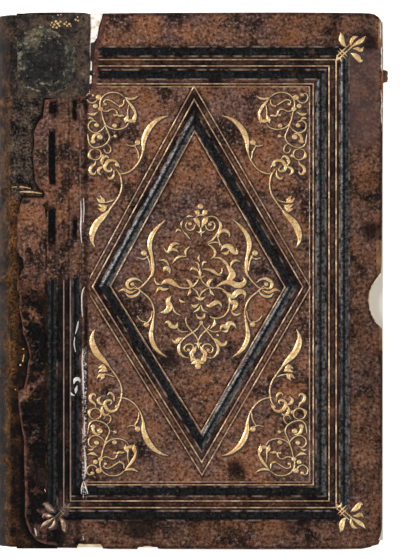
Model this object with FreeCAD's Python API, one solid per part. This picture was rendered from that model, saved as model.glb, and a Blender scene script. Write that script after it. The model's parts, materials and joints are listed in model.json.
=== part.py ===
"""A leather-bound book of about 1560, lying on its back cover, with its covers opening at leather joints.

The book is sewn on five raised cords whose ends are laced into pasteboard covers.  The old leather of the
covers has been lifted and laid over a newer leather spine, so a torn edge of it shows along the joint, a
patch stands in for a lost corner, and a rounded bite is missing from the fore-edge of the front cover.

Frame: +X towards the fore-edge, +Y towards the head, +Z up.  The origin is at the middle of the book's
bounding box, on the surface that the book lies on.  All sizes are in millimetres.
"""

import FreeCAD
import Part

import math
import os

from FreeCAD import Vector

# Overall sizes of the book.
COVER_HEIGHT = 240.0
COVER_WIDTH = 164.0            # from the joint line to the fore-edge
TEXT_THICKNESS = 28.0
HEAD_SQUARE = 4.0              # how far a cover stands out past the pages at head and tail
FORE_SQUARE = 1.0              # the same at the fore-edge, before its hollow
FORE_EDGE_HOLLOW = 3.5         # how deep the fore-edge curves in

# Covers, from the outside in.
LEATHER = 1.0
LAYER = LEATHER / 2            # leather is pared to half where the old lies on the new
BOARD = 3.6
TURN_IN = 0.5                  # pared leather folded onto the inner face of the board
TURN_IN_WIDTH = 14.0
TURN_IN_SHOWING = 4.0          # how much of it the pasted paper leaves bare
PAPER = 0.25
COVER_GAP = 0.3                # air between a closed cover and the pages

# Worn corners of the covers, and the places where the leather is worn off the front board's tail edge.
HEAD_CORNER = 6.0
TAIL_CORNER = 9.0
JOINT_CORNER = 1.5
TAIL_LOSSES = [(27.9, 38.4), (54.5, 63.4)]     # from and to, out from the joint
TAIL_LOSS_DEPTH = 2.0

# Joint between the spine and a cover.
HINGE_CLEARANCE = 0.15         # from the joint line to the nearest leather of a cover
BOARD_SETBACK = 0.5            # from the joint line to the edge of the board
SHOULDER_SETBACK = 0.4         # from the joint line to the shoulder of the pages
SHOULDER_DROP = 1.8            # from the outside of a cover to the tip of the shoulder
SPINE_ROUND = 7.0              # how far the back of the pages bulges
SPINE_LEATHER_DROP = 0.5       # from the outside of a cover to the edge of the spine leather
SPINE_LINING = 0.3
GLUE = 0.05                    # between the layers of the back

# Five sewing cords across the back, evenly spaced, and their ends in the boards.
CORD_COUNT = 5
CORD_RADIUS = 1.2
CORD_FIT = 0.05
BAND_DROP = 2.0                # from the outside of a cover to the rounded end of a raised band
SLIP_LENGTH = 11.0
SLIP_DEPTH = 1.2
SLIP_HOLE_RADIUS = 1.2
SLIP_CORD_GAP = 0.1            # from the edge of the board to the start of the slip

# Endbands: a cord along the top and bottom of the back, wound with thread.
ENDBAND_CORE_RADIUS = 0.6
ENDBAND_THREAD = 0.25
ENDBAND_FIT = 0.05
ENDBAND_INSET = 1.6            # from the back of the pages to the middle of the endband
CAP_DROP = 1.2                 # the ends of the spine stand this much short of the covers
CAP_LEATHER = 0.8
CAP_DEPTH = 3.2                # how far the leather is turned over the endbands

# Leather of the repair, and what is left of the old leather.
FLAP_WIDTH = 18.5              # the new leather runs this far onto each board
BACK_LEATHER_START = 5.0       # the old leather of the back starts this far from the joint
TORN_EDGE = [                  # out from the joint, and the share of the way from patch to tail corner
    (12.9, 0.004), (12.1, 0.046), (10.3, 0.056), (7.9, 0.082), (8.2, 0.108), (7.4, 0.136), (8.2, 0.174),
    (8.5, 0.196), (12.3, 0.228), (3.1, 0.235), (1.4, 0.262), (0.8, 0.300), (0.8, 0.353), (3.4, 0.392),
    (0.8, 0.426), (1.8, 0.469), (3.1, 0.545), (6.3, 0.610), (4.9, 0.655), (1.2, 0.695), (1.6, 0.740),
    (3.6, 0.808), (3.8, 0.926),
]
TORN_TAIL_CORNER = 10.0        # the old leather rounds off at the tail
TORN_TAIL_DROP = 2.7           # and stops short of the edge where it lies on the new
PATCH_START = 1.2
PATCH_WIDTH = 31.6
PATCH_HEIGHT = 38.0
CRACK = [                      # its width beside the patch, and how far below the head
    (6.1, 0.0), (3.8, 6.5), (3.5, 11.0), (1.4, 13.2), (0.6, 20.0),
]
CRACK_END = 0.4                # its width from there on

# The rounded bite out of the fore-edge, as an arc through its two ends and its deepest point.
BITE_LENGTH = 24.2
BITE_DEPTH = 6.3
BITE_CENTRE = -9.0

# Stub of a cut-off tie at the fore-edge.
TIE_HEAD_DISTANCE = 28.5       # from the head edge to the middle of the tie
TIE_WIDTH = 6.4
TIE_REACH = 2.2
TIE_LENGTH = 11.0
TIE_FIT = 0.05

# Levels through the closed book.
COVER_STACK = LEATHER + BOARD + TURN_IN + PAPER
THICKNESS = TEXT_THICKNESS + 2 * (COVER_GAP + COVER_STACK)
MIDDLE = THICKNESS / 2
TEXT_BOTTOM = COVER_STACK + COVER_GAP
TEXT_TOP = THICKNESS - TEXT_BOTTOM
BOARD_TOP = THICKNESS - LEATHER
BOARD_FACE = BOARD_TOP - BOARD             # its inner face
TURN_IN_FACE = BOARD_FACE - TURN_IN
PAPER_FACE = TURN_IN_FACE - PAPER

ENDBAND_RADIUS = ENDBAND_CORE_RADIUS + ENDBAND_FIT + ENDBAND_THREAD

# The rounded back: one axis along Y carries the pages' back, the lining, the cords and the leather.
SHOULDER_RISE = MIDDLE - SHOULDER_DROP
BACK_RADIUS = (SHOULDER_RISE**2 + SPINE_ROUND**2) / (2 * SPINE_ROUND)
LEATHER_INNER = BACK_RADIUS + SPINE_LINING + 2 * GLUE
LEATHER_OUTER = LEATHER_INNER + LEATHER
CORD_PATH = BACK_RADIUS + CORD_RADIUS + CORD_FIT
ENDBAND_PATH = BACK_RADIUS - ENDBAND_INSET
RIDGE_RADIUS = CORD_RADIUS + LEATHER
SPINE_BULGE = SHOULDER_SETBACK + SPINE_ROUND + (CORD_PATH + RIDGE_RADIUS - BACK_RADIUS)

# Places along X.
JOINT_X = SPINE_BULGE - (SPINE_BULGE + COVER_WIDTH + TIE_REACH) / 2
FORE_X = JOINT_X + COVER_WIDTH
AXIS_X = JOINT_X - SHOULDER_SETBACK - SPINE_ROUND + BACK_RADIUS
SHOULDER_ANGLE = math.degrees(math.asin(SHOULDER_RISE / BACK_RADIUS))
LEATHER_ANGLE = math.degrees(math.asin((MIDDLE - SPINE_LEATHER_DROP) / LEATHER_OUTER))
BAND_ANGLE = math.degrees(math.asin((MIDDLE - BAND_DROP - RIDGE_RADIUS) / CORD_PATH))
ENDBAND_ANGLE = math.degrees(math.asin(TEXT_THICKNESS / 2 / (ENDBAND_PATH + ENDBAND_RADIUS)))
FLAP_END = JOINT_X + FLAP_WIDTH

# Places along Y.
HALF_HEIGHT = COVER_HEIGHT / 2
TEXT_HALF = HALF_HEIGHT - HEAD_SQUARE
CORD_SPACING = COVER_HEIGHT / (CORD_COUNT + 1)
CORD_HEIGHTS = [(i - (CORD_COUNT - 1) / 2) * CORD_SPACING for i in range(CORD_COUNT)]
PATCH_FOOT = HALF_HEIGHT - PATCH_HEIGHT
TIE_HEIGHT = HALF_HEIGHT - TIE_HEAD_DISTANCE


def prism(points, low, high):
    """A flat outline in X and Y, given by its corners, raised from one level to another."""
    corners = [Vector(x, y, low) for x, y in points]
    face = Part.Face(Part.makePolygon(corners + corners[:1]))
    return face.extrude(Vector(0, 0, high - low))


def block(x0, x1, y0, y1, z0, z1):
    """A box between two corners."""
    return Part.makeBox(x1 - x0, y1 - y0, z1 - z0, Vector(x0, y0, z0))


def cover_outline(inset, low, high, joint_x):
    """The plan of the front cover, drawn in from its edges, with its worn corners rounded."""
    x1 = FORE_X - inset
    y1 = HALF_HEIGHT - inset
    corners = [
        (joint_x, -y1, JOINT_CORNER),
        (x1, -y1, TAIL_CORNER - inset),
        (x1, y1, HEAD_CORNER - inset),
        (joint_x, y1, JOINT_CORNER),
    ]
    edges = []
    turned = math.sqrt(0.5)
    middle = Vector((joint_x + x1) / 2, 0, low)
    ends = []
    for x, y, radius in corners:
        sx = math.copysign(1, middle.x - x)
        sy = math.copysign(1, middle.y - y)
        centre = Vector(x + sx * radius, y + sy * radius, low)
        beside = Vector(x + sx * radius, y, low)
        along = Vector(x, y + sy * radius, low)
        crown = centre + Vector(-sx * turned * radius, -sy * turned * radius, 0)
        first, last = (along, beside) if sx * sy > 0 else (beside, along)
        edges.append(Part.Arc(first, crown, last).toShape())
        ends.append((first, last))
    for i, (_, last) in enumerate(ends):
        edges.append(Part.LineSegment(last, ends[(i + 1) % len(ends)][0]).toShape())
    face = Part.Face(Part.Wire(Part.__sortEdges__(edges)))
    return face.extrude(Vector(0, 0, high - low))


def bite():
    """The round piece missing from the fore-edge, through the whole front cover."""
    half = BITE_LENGTH / 2
    radius = (half**2 + BITE_DEPTH**2) / (2 * BITE_DEPTH)
    centre = Vector(FORE_X - BITE_DEPTH + radius, BITE_CENTRE, TEXT_TOP)
    return Part.makeCylinder(radius, THICKNESS - TEXT_TOP + LEATHER, centre)


def leather_layers():
    """The outer and inner layers of a cover's leather, and its turn-ins, before they are cut to shape."""
    start = JOINT_X + HINGE_CLEARANCE
    board = cover_outline(LEATHER, BOARD_FACE, BOARD_TOP, JOINT_X - LEATHER)
    under = cover_outline(LAYER, TURN_IN_FACE, THICKNESS - LAYER, JOINT_X - LEATHER)
    outer = cover_outline(0, TURN_IN_FACE, THICKNESS, start).cut(under)
    layer = cover_outline(LAYER, BOARD_FACE, THICKNESS - LAYER, start).cut(board)
    window_y = HALF_HEIGHT - TURN_IN_WIDTH
    window = block(JOINT_X - LEATHER, FORE_X - TURN_IN_WIDTH, -window_y, window_y, TURN_IN_FACE, BOARD_FACE)
    turned = cover_outline(LAYER, TURN_IN_FACE, BOARD_FACE, start).cut(window)
    return outer, layer, turned


def plan_region(points):
    """A column over a region of the cover's plan, tall enough to cut its leather."""
    return prism([(JOINT_X + x, y) for x, y in points], PAPER_FACE, THICKNESS + LEATHER)


def torn_region():
    """The plan of the old leather that is left on the front cover."""
    far = COVER_WIDTH + LEATHER
    above = HALF_HEIGHT + LEATHER
    corner_y = -HALF_HEIGHT + TORN_TAIL_DROP + TORN_TAIL_CORNER
    torn = [(x, PATCH_FOOT + share * (corner_y - PATCH_FOOT)) for x, share in TORN_EDGE]
    corner = [
        (
            torn[-1][0] + TORN_TAIL_CORNER * (1 - math.cos(math.radians(turn))),
            corner_y - TORN_TAIL_CORNER * math.sin(math.radians(turn)),
        )
        for turn in (0, 22.5, 45, 67.5, 90)
    ]
    tail = [(FLAP_WIDTH, corner[-1][1]), (FLAP_WIDTH, -above), (far, -above), (far, above)]
    right = PATCH_START + PATCH_WIDTH
    crack = [(right + width, HALF_HEIGHT - drop) for width, drop in CRACK]
    return plan_region(
        torn + corner + tail + [(crack[0][0], above)] + crack + [(right + CRACK_END, PATCH_FOOT)]
    )


def patch_region():
    """The plan of the patch at the head, by the joint."""
    right = PATCH_START + PATCH_WIDTH
    foot = PATCH_FOOT + CRACK_END
    above = HALF_HEIGHT + LEATHER
    return plan_region([(PATCH_START, foot), (right, foot), (right, above), (PATCH_START, above)])


def beyond_flap(shape):
    """The part of a shape that lies past the end of the new leather."""
    far = FORE_X + LEATHER
    return shape.common(block(FLAP_END, far, -HALF_HEIGHT, HALF_HEIGHT, 0, THICKNESS + LEATHER))


def old_leather(region):
    """A piece of a cover's outer leather: full thickness past the new leather, pared where it lies on it."""
    outer, layer, turned = leather_layers()
    piece = outer.common(region)
    piece = piece.fuse(beyond_flap(layer.common(region)))
    return piece.fuse(beyond_flap(turned.common(region))).removeSplitter()


def tie_box(fit):
    """The flat stub of the tie, let into the turned-in leather under the board and out past the fore-edge."""
    half = TIE_WIDTH / 2 + fit
    low = TURN_IN_FACE if fit else TURN_IN_FACE + TIE_FIT
    inner = FORE_X - TIE_LENGTH - fit
    return block(inner, FORE_X + TIE_REACH, TIE_HEIGHT - half, TIE_HEIGHT + half, low, BOARD_FACE)


def tail_losses():
    """The stretches of the tail edge where the leather is gone and the board shows."""
    low = -HALF_HEIGHT
    return [
        block(JOINT_X + x0, JOINT_X + x1, low, low + TAIL_LOSS_DEPTH, BOARD_FACE, THICKNESS)
        for x0, x1 in TAIL_LOSSES
    ]


def front_leather():
    """The old tooled leather of the front cover, torn along the joint and bitten at the fore-edge."""
    return old_leather(torn_region()).cut([bite(), tie_box(TIE_FIT)] + tail_losses())


def front_corner_patch():
    """The darker leather that stands in for the lost corner at the head of the joint."""
    return old_leather(patch_region())


def back_leather():
    """The old leather of the back cover, cut straight along the joint."""
    far = COVER_WIDTH + LEATHER
    above = HALF_HEIGHT + LEATHER
    near = BACK_LEATHER_START
    return turn_over(old_leather(plan_region([(near, -above), (far, -above), (far, above), (near, above)])))


def cover_flap():
    """The new leather where it runs from the joint onto a board, under the old."""
    _, layer, turned = leather_layers()
    flap = layer.fuse(turned).removeSplitter()
    return flap.common(block(JOINT_X, FLAP_END, -HALF_HEIGHT, HALF_HEIGHT, 0, THICKNESS))


def slip(height, fit=0.0):
    """The end of a sewing cord, sunk in the board's outer face and passed down through a hole in it."""
    edge = JOINT_X + BOARD_SETBACK
    start = edge + (0 if fit else SLIP_CORD_GAP)
    end = edge + SLIP_LENGTH
    width = SLIP_HOLE_RADIUS + fit
    depth = SLIP_DEPTH + fit
    run = block(start, end, height - width, height + width, BOARD_TOP - depth, BOARD_TOP)
    down = Part.makeCylinder(width, BOARD, Vector(end, height, BOARD_FACE))
    return run.fuse(down).removeSplitter()


def board():
    """A pasteboard with the channels and holes of its slips."""
    shape = cover_outline(LEATHER, BOARD_FACE, BOARD_TOP, JOINT_X + BOARD_SETBACK)
    for height in CORD_HEIGHTS:
        shape = shape.cut(slip(height, CORD_FIT))
    return shape


def pastedown():
    """The paper pasted inside a cover: it steps down from the turn-ins onto the board."""
    start = JOINT_X + HINGE_CLEARANCE
    step_y = HALF_HEIGHT - TURN_IN_WIDTH
    step_x = FORE_X - TURN_IN_WIDTH
    edge_y = HALF_HEIGHT - TURN_IN_SHOWING
    edge_x = FORE_X - TURN_IN_SHOWING
    whole = block(start, edge_x, -edge_y, edge_y, PAPER_FACE, BOARD_FACE)
    under_turn_ins = block(start, edge_x, -edge_y, edge_y, TURN_IN_FACE, BOARD_FACE)
    under_turn_ins = under_turn_ins.cut(block(start, step_x, -step_y, step_y, TURN_IN_FACE, BOARD_FACE))
    hollow = block(
        start, step_x - PAPER, -step_y + PAPER, step_y - PAPER, PAPER_FACE, BOARD_FACE - PAPER
    )
    return whole.cut(under_turn_ins).cut(hollow)


def tie_stub():
    """The cut-off stub of a leather tie."""
    return tie_box(0)


def turn_over(shape):
    """Turns a piece of the front cover into one of the back cover."""
    return shape.mirror(Vector(0, 0, MIDDLE), Vector(0, 0, 1))


def across_back(face, half_angle):
    """Sweeps a face, drawn in X and Y to the left of the spine's axis, over the back of the book."""
    axis = Vector(AXIS_X, 0, MIDDLE)
    turned = face.copy()
    turned.rotate(axis, Vector(0, 1, 0), -half_angle)
    return turned.revolve(axis, Vector(0, 1, 0), 2 * half_angle)


def spine_point(radius, height):
    """A point at this distance from the spine's axis, level with it."""
    return Vector(AXIS_X - radius, height, MIDDLE)


def ring_face(radius, height, outer, inner=0.0):
    """A round section, or a ring of one, at a place on the back."""
    centre = spine_point(radius, height)
    rings = [Part.Wire(Part.makeCircle(r, centre, Vector(0, 0, 1))) for r in (outer, inner) if r > 0]
    face = Part.Face(rings[0])
    return face.cut(Part.Face(rings[1])) if len(rings) > 1 else face


def sheet_over_back(inner, outer, low, high, half_angle):
    """A sheet over the back, between two distances from the spine's axis and two heights."""
    places = [(inner, low), (outer, low), (outer, high), (inner, high)]
    corners = [spine_point(radius, height) for radius, height in places]
    return across_back(Part.Face(Part.makePolygon(corners + corners[:1])), half_angle)


def band_ridge(height):
    """The leather that stands out over one cord, rounded off at both ends before it meets the joints."""
    axis = Vector(AXIS_X, 0, MIDDLE)
    ridge = across_back(ring_face(CORD_PATH, height, RIDGE_RADIUS), BAND_ANGLE)
    for turn in (-BAND_ANGLE, BAND_ANGLE):
        end = Part.makeSphere(RIDGE_RADIUS, spine_point(CORD_PATH, height))
        end.rotate(axis, Vector(0, 1, 0), turn)
        ridge = ridge.fuse(end)
    low = Vector(AXIS_X, height - 2 * RIDGE_RADIUS, MIDDLE)
    return ridge.cut(Part.makeCylinder(LEATHER_INNER, 4 * RIDGE_RADIUS, low, Vector(0, 1, 0)))


def spine_leather():
    """The new leather of the spine, moulded over the cords and turned over the endbands."""
    end = HALF_HEIGHT - CAP_DROP
    cap = end - CAP_LEATHER
    hook = LEATHER_OUTER - CAP_DEPTH
    shape = sheet_over_back(LEATHER_INNER, LEATHER_OUTER, -end, end, LEATHER_ANGLE)
    for low, high in ((cap, end), (-end, -cap)):
        shape = shape.fuse(sheet_over_back(hook, LEATHER_INNER, low, high, ENDBAND_ANGLE))
    tunnel_angle = BAND_ANGLE + math.degrees(CORD_FIT / CORD_PATH)
    for height in CORD_HEIGHTS:
        tunnel = across_back(ring_face(CORD_PATH, height, CORD_RADIUS + CORD_FIT), tunnel_angle)
        shape = shape.fuse(band_ridge(height)).cut(tunnel)
    return shape.removeSplitter()


def sewing_cord(height):
    """One sewing cord over the back, as far as it stands out as a band."""
    return across_back(ring_face(CORD_PATH, height, CORD_RADIUS), BAND_ANGLE)


def linings():
    """The strips that line the back in each panel between the cords."""
    clear = CORD_RADIUS + CORD_FIT
    lows = [-TEXT_HALF] + [height + clear for height in CORD_HEIGHTS]
    highs = [height - clear for height in CORD_HEIGHTS] + [TEXT_HALF]
    return [
        sheet_over_back(BACK_RADIUS + GLUE, LEATHER_INNER - GLUE, low, high, SHOULDER_ANGLE)
        for low, high in zip(lows, highs)
    ]


def endband(side, outer, inner=0.0):
    """An endband's core or thread on the head (1) or tail (-1) edge of the pages."""
    height = side * (TEXT_HALF + ENDBAND_RADIUS)
    return across_back(ring_face(ENDBAND_PATH, height, outer, inner), ENDBAND_ANGLE)


def text_block():
    """All the pages as one block: round back with shoulders for the boards, and a hollow fore-edge."""
    edge_x = FORE_X - FORE_SQUARE
    tip_x = JOINT_X - SHOULDER_SETBACK

    def at(x, z):
        return Vector(x, -TEXT_HALF, z)

    low_tip = at(tip_x, MIDDLE - SHOULDER_RISE)
    high_tip = at(tip_x, MIDDLE + SHOULDER_RISE)
    edges = [
        Part.Arc(low_tip, at(AXIS_X - BACK_RADIUS, MIDDLE), high_tip).toShape(),
        Part.LineSegment(high_tip, at(tip_x, TEXT_TOP)).toShape(),
        Part.LineSegment(at(tip_x, TEXT_TOP), at(edge_x, TEXT_TOP)).toShape(),
        Part.Arc(
            at(edge_x, TEXT_TOP), at(edge_x - FORE_EDGE_HOLLOW, MIDDLE), at(edge_x, TEXT_BOTTOM)
        ).toShape(),
        Part.LineSegment(at(edge_x, TEXT_BOTTOM), at(tip_x, TEXT_BOTTOM)).toShape(),
        Part.LineSegment(at(tip_x, TEXT_BOTTOM), low_tip).toShape(),
    ]
    return Part.Face(Part.Wire(edges)).extrude(Vector(0, 2 * TEXT_HALF, 0))


def pieces():
    """Every piece of the book by name."""
    core = ENDBAND_CORE_RADIUS
    made = {
        "text_block": text_block(),
        "spine_leather": spine_leather(),
        "headband_core": endband(1, core),
        "headband_thread": endband(1, ENDBAND_RADIUS, core + ENDBAND_FIT),
        "tailband_core": endband(-1, core),
        "tailband_thread": endband(-1, ENDBAND_RADIUS, core + ENDBAND_FIT),
        "front_board": board().cut(bite()),
        "front_leather": front_leather(),
        "front_corner_patch": front_corner_patch(),
        "front_leather_flap": cover_flap(),
        "front_pastedown": pastedown().cut(bite()),
        "front_tie_stub": tie_stub(),
        "back_board": turn_over(board()),
        "back_leather": back_leather(),
        "back_leather_flap": turn_over(cover_flap()),
        "back_pastedown": turn_over(pastedown()),
    }
    for number, height in enumerate(reversed(CORD_HEIGHTS), start=1):
        made[f"sewing_cord_{number}"] = sewing_cord(height)
        made[f"front_slip_{number}"] = slip(height)
        made[f"back_slip_{number}"] = turn_over(slip(height))
    for number, lining in enumerate(reversed(linings()), start=1):
        made[f"spine_lining_{number}"] = lining
    return made


def main():
    os.makedirs("parts", exist_ok=True)
    for name, shape in pieces().items():
        if not shape.isValid():
            raise RuntimeError(f"{name} is not a valid shape")
        shape.exportStep(os.path.join("parts", f"{name}.step"))
        box = shape.BoundBox
        spans = [(box.XMin, box.XMax), (box.YMin, box.YMax), (box.ZMin, box.ZMax)]
        reach = "  ".join(f"{low:8.2f} {high:8.2f}" for low, high in spans)
        print(f"{name:20s} solids {len(shape.Solids)}  volume {shape.Volume:11.2f}  {reach}")
    print(f"joint line at X {JOINT_X:.3f}, thickness {THICKNESS:.2f}, fore-edge at X {FORE_X:.3f}")


main()
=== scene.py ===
"""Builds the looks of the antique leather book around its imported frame."""

import json
import math

import bpy
import numpy as np
from bpy.props import FloatProperty, FloatVectorProperty, PointerProperty
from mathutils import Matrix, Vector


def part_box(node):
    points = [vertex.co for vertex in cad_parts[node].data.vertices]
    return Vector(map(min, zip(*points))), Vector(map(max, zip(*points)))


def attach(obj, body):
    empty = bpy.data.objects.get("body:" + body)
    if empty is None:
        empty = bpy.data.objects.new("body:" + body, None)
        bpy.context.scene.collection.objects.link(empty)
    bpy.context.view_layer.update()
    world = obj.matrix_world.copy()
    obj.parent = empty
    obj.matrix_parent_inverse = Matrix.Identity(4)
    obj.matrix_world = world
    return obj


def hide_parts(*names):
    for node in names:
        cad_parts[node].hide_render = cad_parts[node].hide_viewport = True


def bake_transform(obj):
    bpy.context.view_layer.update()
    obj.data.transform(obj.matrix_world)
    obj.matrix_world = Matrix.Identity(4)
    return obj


bl_info = {
    "name": "Antique leather book",
    "version": (1, 0, 0),
    "blender": (4, 5, 0),
    "location": "3D View > Sidebar > Book",
    "description": "Builds a gold-tooled leather binding, its pages and its stage around the packed frame",
    "category": "Object",
}

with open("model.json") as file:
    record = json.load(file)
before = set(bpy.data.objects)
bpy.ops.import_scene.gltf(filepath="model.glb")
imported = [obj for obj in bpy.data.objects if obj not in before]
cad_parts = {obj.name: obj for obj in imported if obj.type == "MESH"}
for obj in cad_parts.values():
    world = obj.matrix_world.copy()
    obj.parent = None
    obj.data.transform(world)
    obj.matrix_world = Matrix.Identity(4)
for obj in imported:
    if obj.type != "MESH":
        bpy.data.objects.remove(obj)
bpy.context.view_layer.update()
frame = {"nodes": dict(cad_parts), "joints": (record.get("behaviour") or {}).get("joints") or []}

MM = 0.001

# Finished materials by name, filled by new_material
FINISHES = {}

# Bodies
BOOK = "book_block"
FRONT = "front_cover"
BACK = "back_cover"

# Places that come from the frame
JOINT_AT = {joint["child"]: joint["pos_m"] for joint in frame["joints"]}
JOINT_X = JOINT_AT[FRONT][0]
BOOK_TOP = JOINT_AT[FRONT][2]
BOOK_MIDDLE = BOOK_TOP / 2
BOARD_LOW, BOARD_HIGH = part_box("front_board")
LEATHER_LOW, LEATHER_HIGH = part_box("front_leather")
FLAP_LOW, FLAP_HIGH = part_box("front_leather_flap")
SPINE_LOW, SPINE_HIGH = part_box("spine_leather")
TEXT_LOW, TEXT_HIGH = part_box("text_block")
PASTEDOWN_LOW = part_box("front_pastedown")[0]
TIE_LOW, TIE_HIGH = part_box("front_tie_stub")
CORD_BOXES = [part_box(f"sewing_cord_{number}") for number in range(1, 6)]
CORD_HEIGHTS = [(low[1] + high[1]) / 2 for low, high in CORD_BOXES]

# The rounded back, as the CAD has it
BACK_RADIUS = 26.26 * MM
AXIS_X = TEXT_LOW[0] + BACK_RADIUS
SPINE_RADIUS = 27.66 * MM
SPINE_ANGLE = math.radians(43.8)
BAND_ANGLE = math.radians(34.2)
BAND_RISE = 2.05 * MM
TEXT_BOTTOM = 5.65 * MM
TEXT_TOP = 33.65 * MM
FORE_EDGE_HOLLOW = 3.5 * MM
# Roundness of the boards' corners at head and tail
HEAD_ROUND = 5.0 * MM
TAIL_ROUND = 8.0 * MM

# The photograph in its own pixels: column of the joint, row of the cover's middle, its centre and size
JOINT_PX = 16.0
MIDDLE_PY = 281.0
VIEW_MIDDLE = (200.0, 279.5)
PHOTO_SIZE = (400, 559)

# Level of the old leather between its raised bands
FIELD = LEATHER_HIGH[2] - 0.3 * MM
# Right end of the pale paper in the gap beside the patch, by photo row
GAP_ROWS = (13, 20, 28, 37, 42, 43, 60, 62, 70, 71, 75, 76, 83, 84, 91, 92, 97)
GAP_ENDS = (103, 101, 98.5, 97.3, 94, 90.6, 90.4, 92, 92, 89.6, 89.6, 91.8, 91.6, 89.4, 89.4, 91.2, 90.8)
# Strips of worn leather along the fore-edge: left and right column, top and foot row, strength,
# and whether the strip is pale, standing both for bare paper and for a painted highlight on the edge
FORE_EDGE_WEAR = (
    (376.6, 385, 243, 274, 0.8, False), (379.6, 385, 325, 348, 0.5, False), (378.5, 385, 16, 46, 0.7, False),
    (382, 386, 60, 130, 0.6, False), (380.2, 380.9, 24, 38, 0.6, True), (381.4, 382.4, 48, 68, 0.85, True),
    (381.2, 381.9, 94, 122, 0.7, True), (380, 386, 470, 520, 0.25, False),
)
# Wormholes in the newer leather: pixel column, pixel row, radius in pixels
WORM_HOLES = ((8, 525.8, 2.2), (13.6, 478, 1.3), (5, 43.5, 1.6), (13, 371.5, 1), (17.5, 426, 1.2))
# Dark stains on the old leather: pixel column, pixel row, reach in pixels
STAINS = (
    (288, 284, 18), (104, 286, 15), (170, 357, 15), (194, 105, 16), (214, 78, 12), (368, 42, 16),
    (140, 520, 24), (236, 470, 14), (150, 196, 14), (246, 150, 11), (66, 300, 20), (52, 400, 26),
    (50, 470, 28), (330, 30, 12), (372, 230, 12), (300, 520, 14),
)
# Warm orange-brown lights on the old leather, written the same way
WARM_LIGHTS = (
    (148, 26, 17), (186, 32, 12), (292, 38, 14), (366, 178, 17), (366, 257, 10), (286, 392, 17),
    (245, 398, 12), (214, 168, 13), (120, 150, 12), (276, 521, 14), (152, 395, 12), (300, 226, 12),
    (150, 430, 12), (60, 214, 9), (136, 268, 10), (236, 336, 10), (60, 350, 8), (330, 400, 9),
)
# Fall of the leather's surface at wrapped and at torn edges
EDGE_DROP = 0.9 * MM
EDGE_ROUND = 1.7 * MM
TORN_DROP = 0.12 * MM

# Frames of the tooling, in photo pixels: left, top, right, bottom
OUTER_BAND = (52.25, 51.5, 344.45, 515.7)
INNER_BAND = (75.25, 74.5, 320.85, 491.45)
FILLET_1 = (63.8, 59.6, 336.2, 507.6)
FILLET_2 = (70.5, 65.9, 329.1, 501.0)
FILLET_3 = (86.0, 83.8, 313.3, 484.8)
FILLET_4 = (87.5, 86.8, 309.5, 482.0)
BLIND_LINE = (46.5, 46.0, 350.5, 520.6)
# Half the width of the painted bands, in pixels
BAND_HALF_WIDTH = 4.3
# Upper left part of the cover, where lines and bands are nearly rubbed away: right edge and lower edge
RUBBED_PX = 80.0
RUBBED_PY = 279.0
# Paint left in that part: pixel column, half width, top row and foot row
PAINT_BARS = (
    (52, 2.6, 132, 184), (51.5, 3.4, 210, 244), (74.5, 1.4, 103, 120), (75, 1.4, 220, 236), (54, 4, 102, 112),
)
# Corners of the lozenge, and how many pixels inside it its band and its lines lie
LOZENGE = ((194.0, 86.0), (310.5, 287.0), (202.0, 475.0), (85.0, 287.0))
LOZENGE_BAND_INSET = 16.5
LOZENGE_LINE_INSETS = (0.0, 6.5, 22.0)
# Crease in the old leather, which lies lower on its joint side, and a short crack that meets it
CREASE_PX = 83.0
SHORT_CRACK = ((43.0, 190.5), (61.0, 193.0), (76.0, 194.4))

# Edge of the front cover: head, rounded corner, fore-edge with its bite, corner, tail with its losses
COVER_EDGE = (
    (103.5, 13.2), (130, 12.9), (180, 12.6), (240, 12.4), (290, 12.3), (340, 12.6), (362, 12.8),
    (370, 13.2), (374.6, 14.1), (378.6, 16.9), (381.4, 21), (382.4, 26), (382.8, 37), (383.2, 52),
    (383.3, 90), (382.6, 150), (382.4, 200), (382, 240), (381.8, 262), (381.2, 273), (376, 279),
    (371.5, 286), (368.8, 294), (368.4, 301), (369.6, 309), (372.6, 317), (377, 323.6), (382, 328.4),
    (382.6, 352), (382.6, 420), (382.4, 480), (382.2, 515), (381.9, 529), (380.6, 536), (376.9, 543.1),
    (370.4, 547.3), (362, 549), (340, 549.4), (280, 549.5), (220, 549.4), (165, 549.2), (158.5, 549),
    (157, 547.2), (147, 546.6), (138.5, 547.3), (137, 549.3), (110, 549.2), (103, 548.7), (101, 544.9),
    (90, 544.2), (79, 544.6), (77, 548.3), (58, 548),
)
# Torn edge along the joint, from the tail up to the patch
TORN_EDGE = (
    (56, 545.4), (50, 544.6), (45, 543.9), (37, 540.8), (31, 533.5), (27, 525), (24.8, 515), (25.2, 500),
    (25, 490), (24.2, 465), (24, 440), (21, 424), (19, 408), (18, 394), (20, 390), (24, 388), (27, 375),
    (28, 363), (30, 356), (27, 343), (23, 333), (22, 322), (19, 308), (20, 296), (17, 290), (17.5, 278),
    (21, 272), (24, 268), (23, 259), (18, 254), (16.8, 247), (16.8, 229), (17.5, 214), (21, 203),
    (23, 197.5), (43.5, 197.8), (44.5, 194.5), (43.5, 191), (39, 188), (35, 180.5), (34.4, 171),
    (32.5, 155), (34.4, 143), (33.7, 132), (39, 121), (43, 117), (45, 99.8), (56, 98.4), (70, 97.5),
    (84.3, 96.5), (89.3, 93.9),
)
# The old leather's side of the crack beside the patch, upwards
CRACK_EDGE = ((92.4, 84), (93.4, 75), (93.7, 58), (95.4, 46), (98.6, 37), (100.6, 26), (102.6, 18))
# Edge of the patch: head, its side of the crack, foot and joint
PATCH_EDGE = (
    (17.2, 15.6), (22, 13.6), (30, 12.6), (50, 12.35), (75, 12.3), (85, 12.7), (90, 14), (90.6, 28),
    (90.2, 41), (89.6, 50), (90.4, 60), (89.8, 75), (89.4, 88), (88.6, 93.5), (84, 96.2), (70, 97.2),
    (55, 98.2), (40, 97.2), (28, 98.4), (17.2, 97.6),
)
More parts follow.
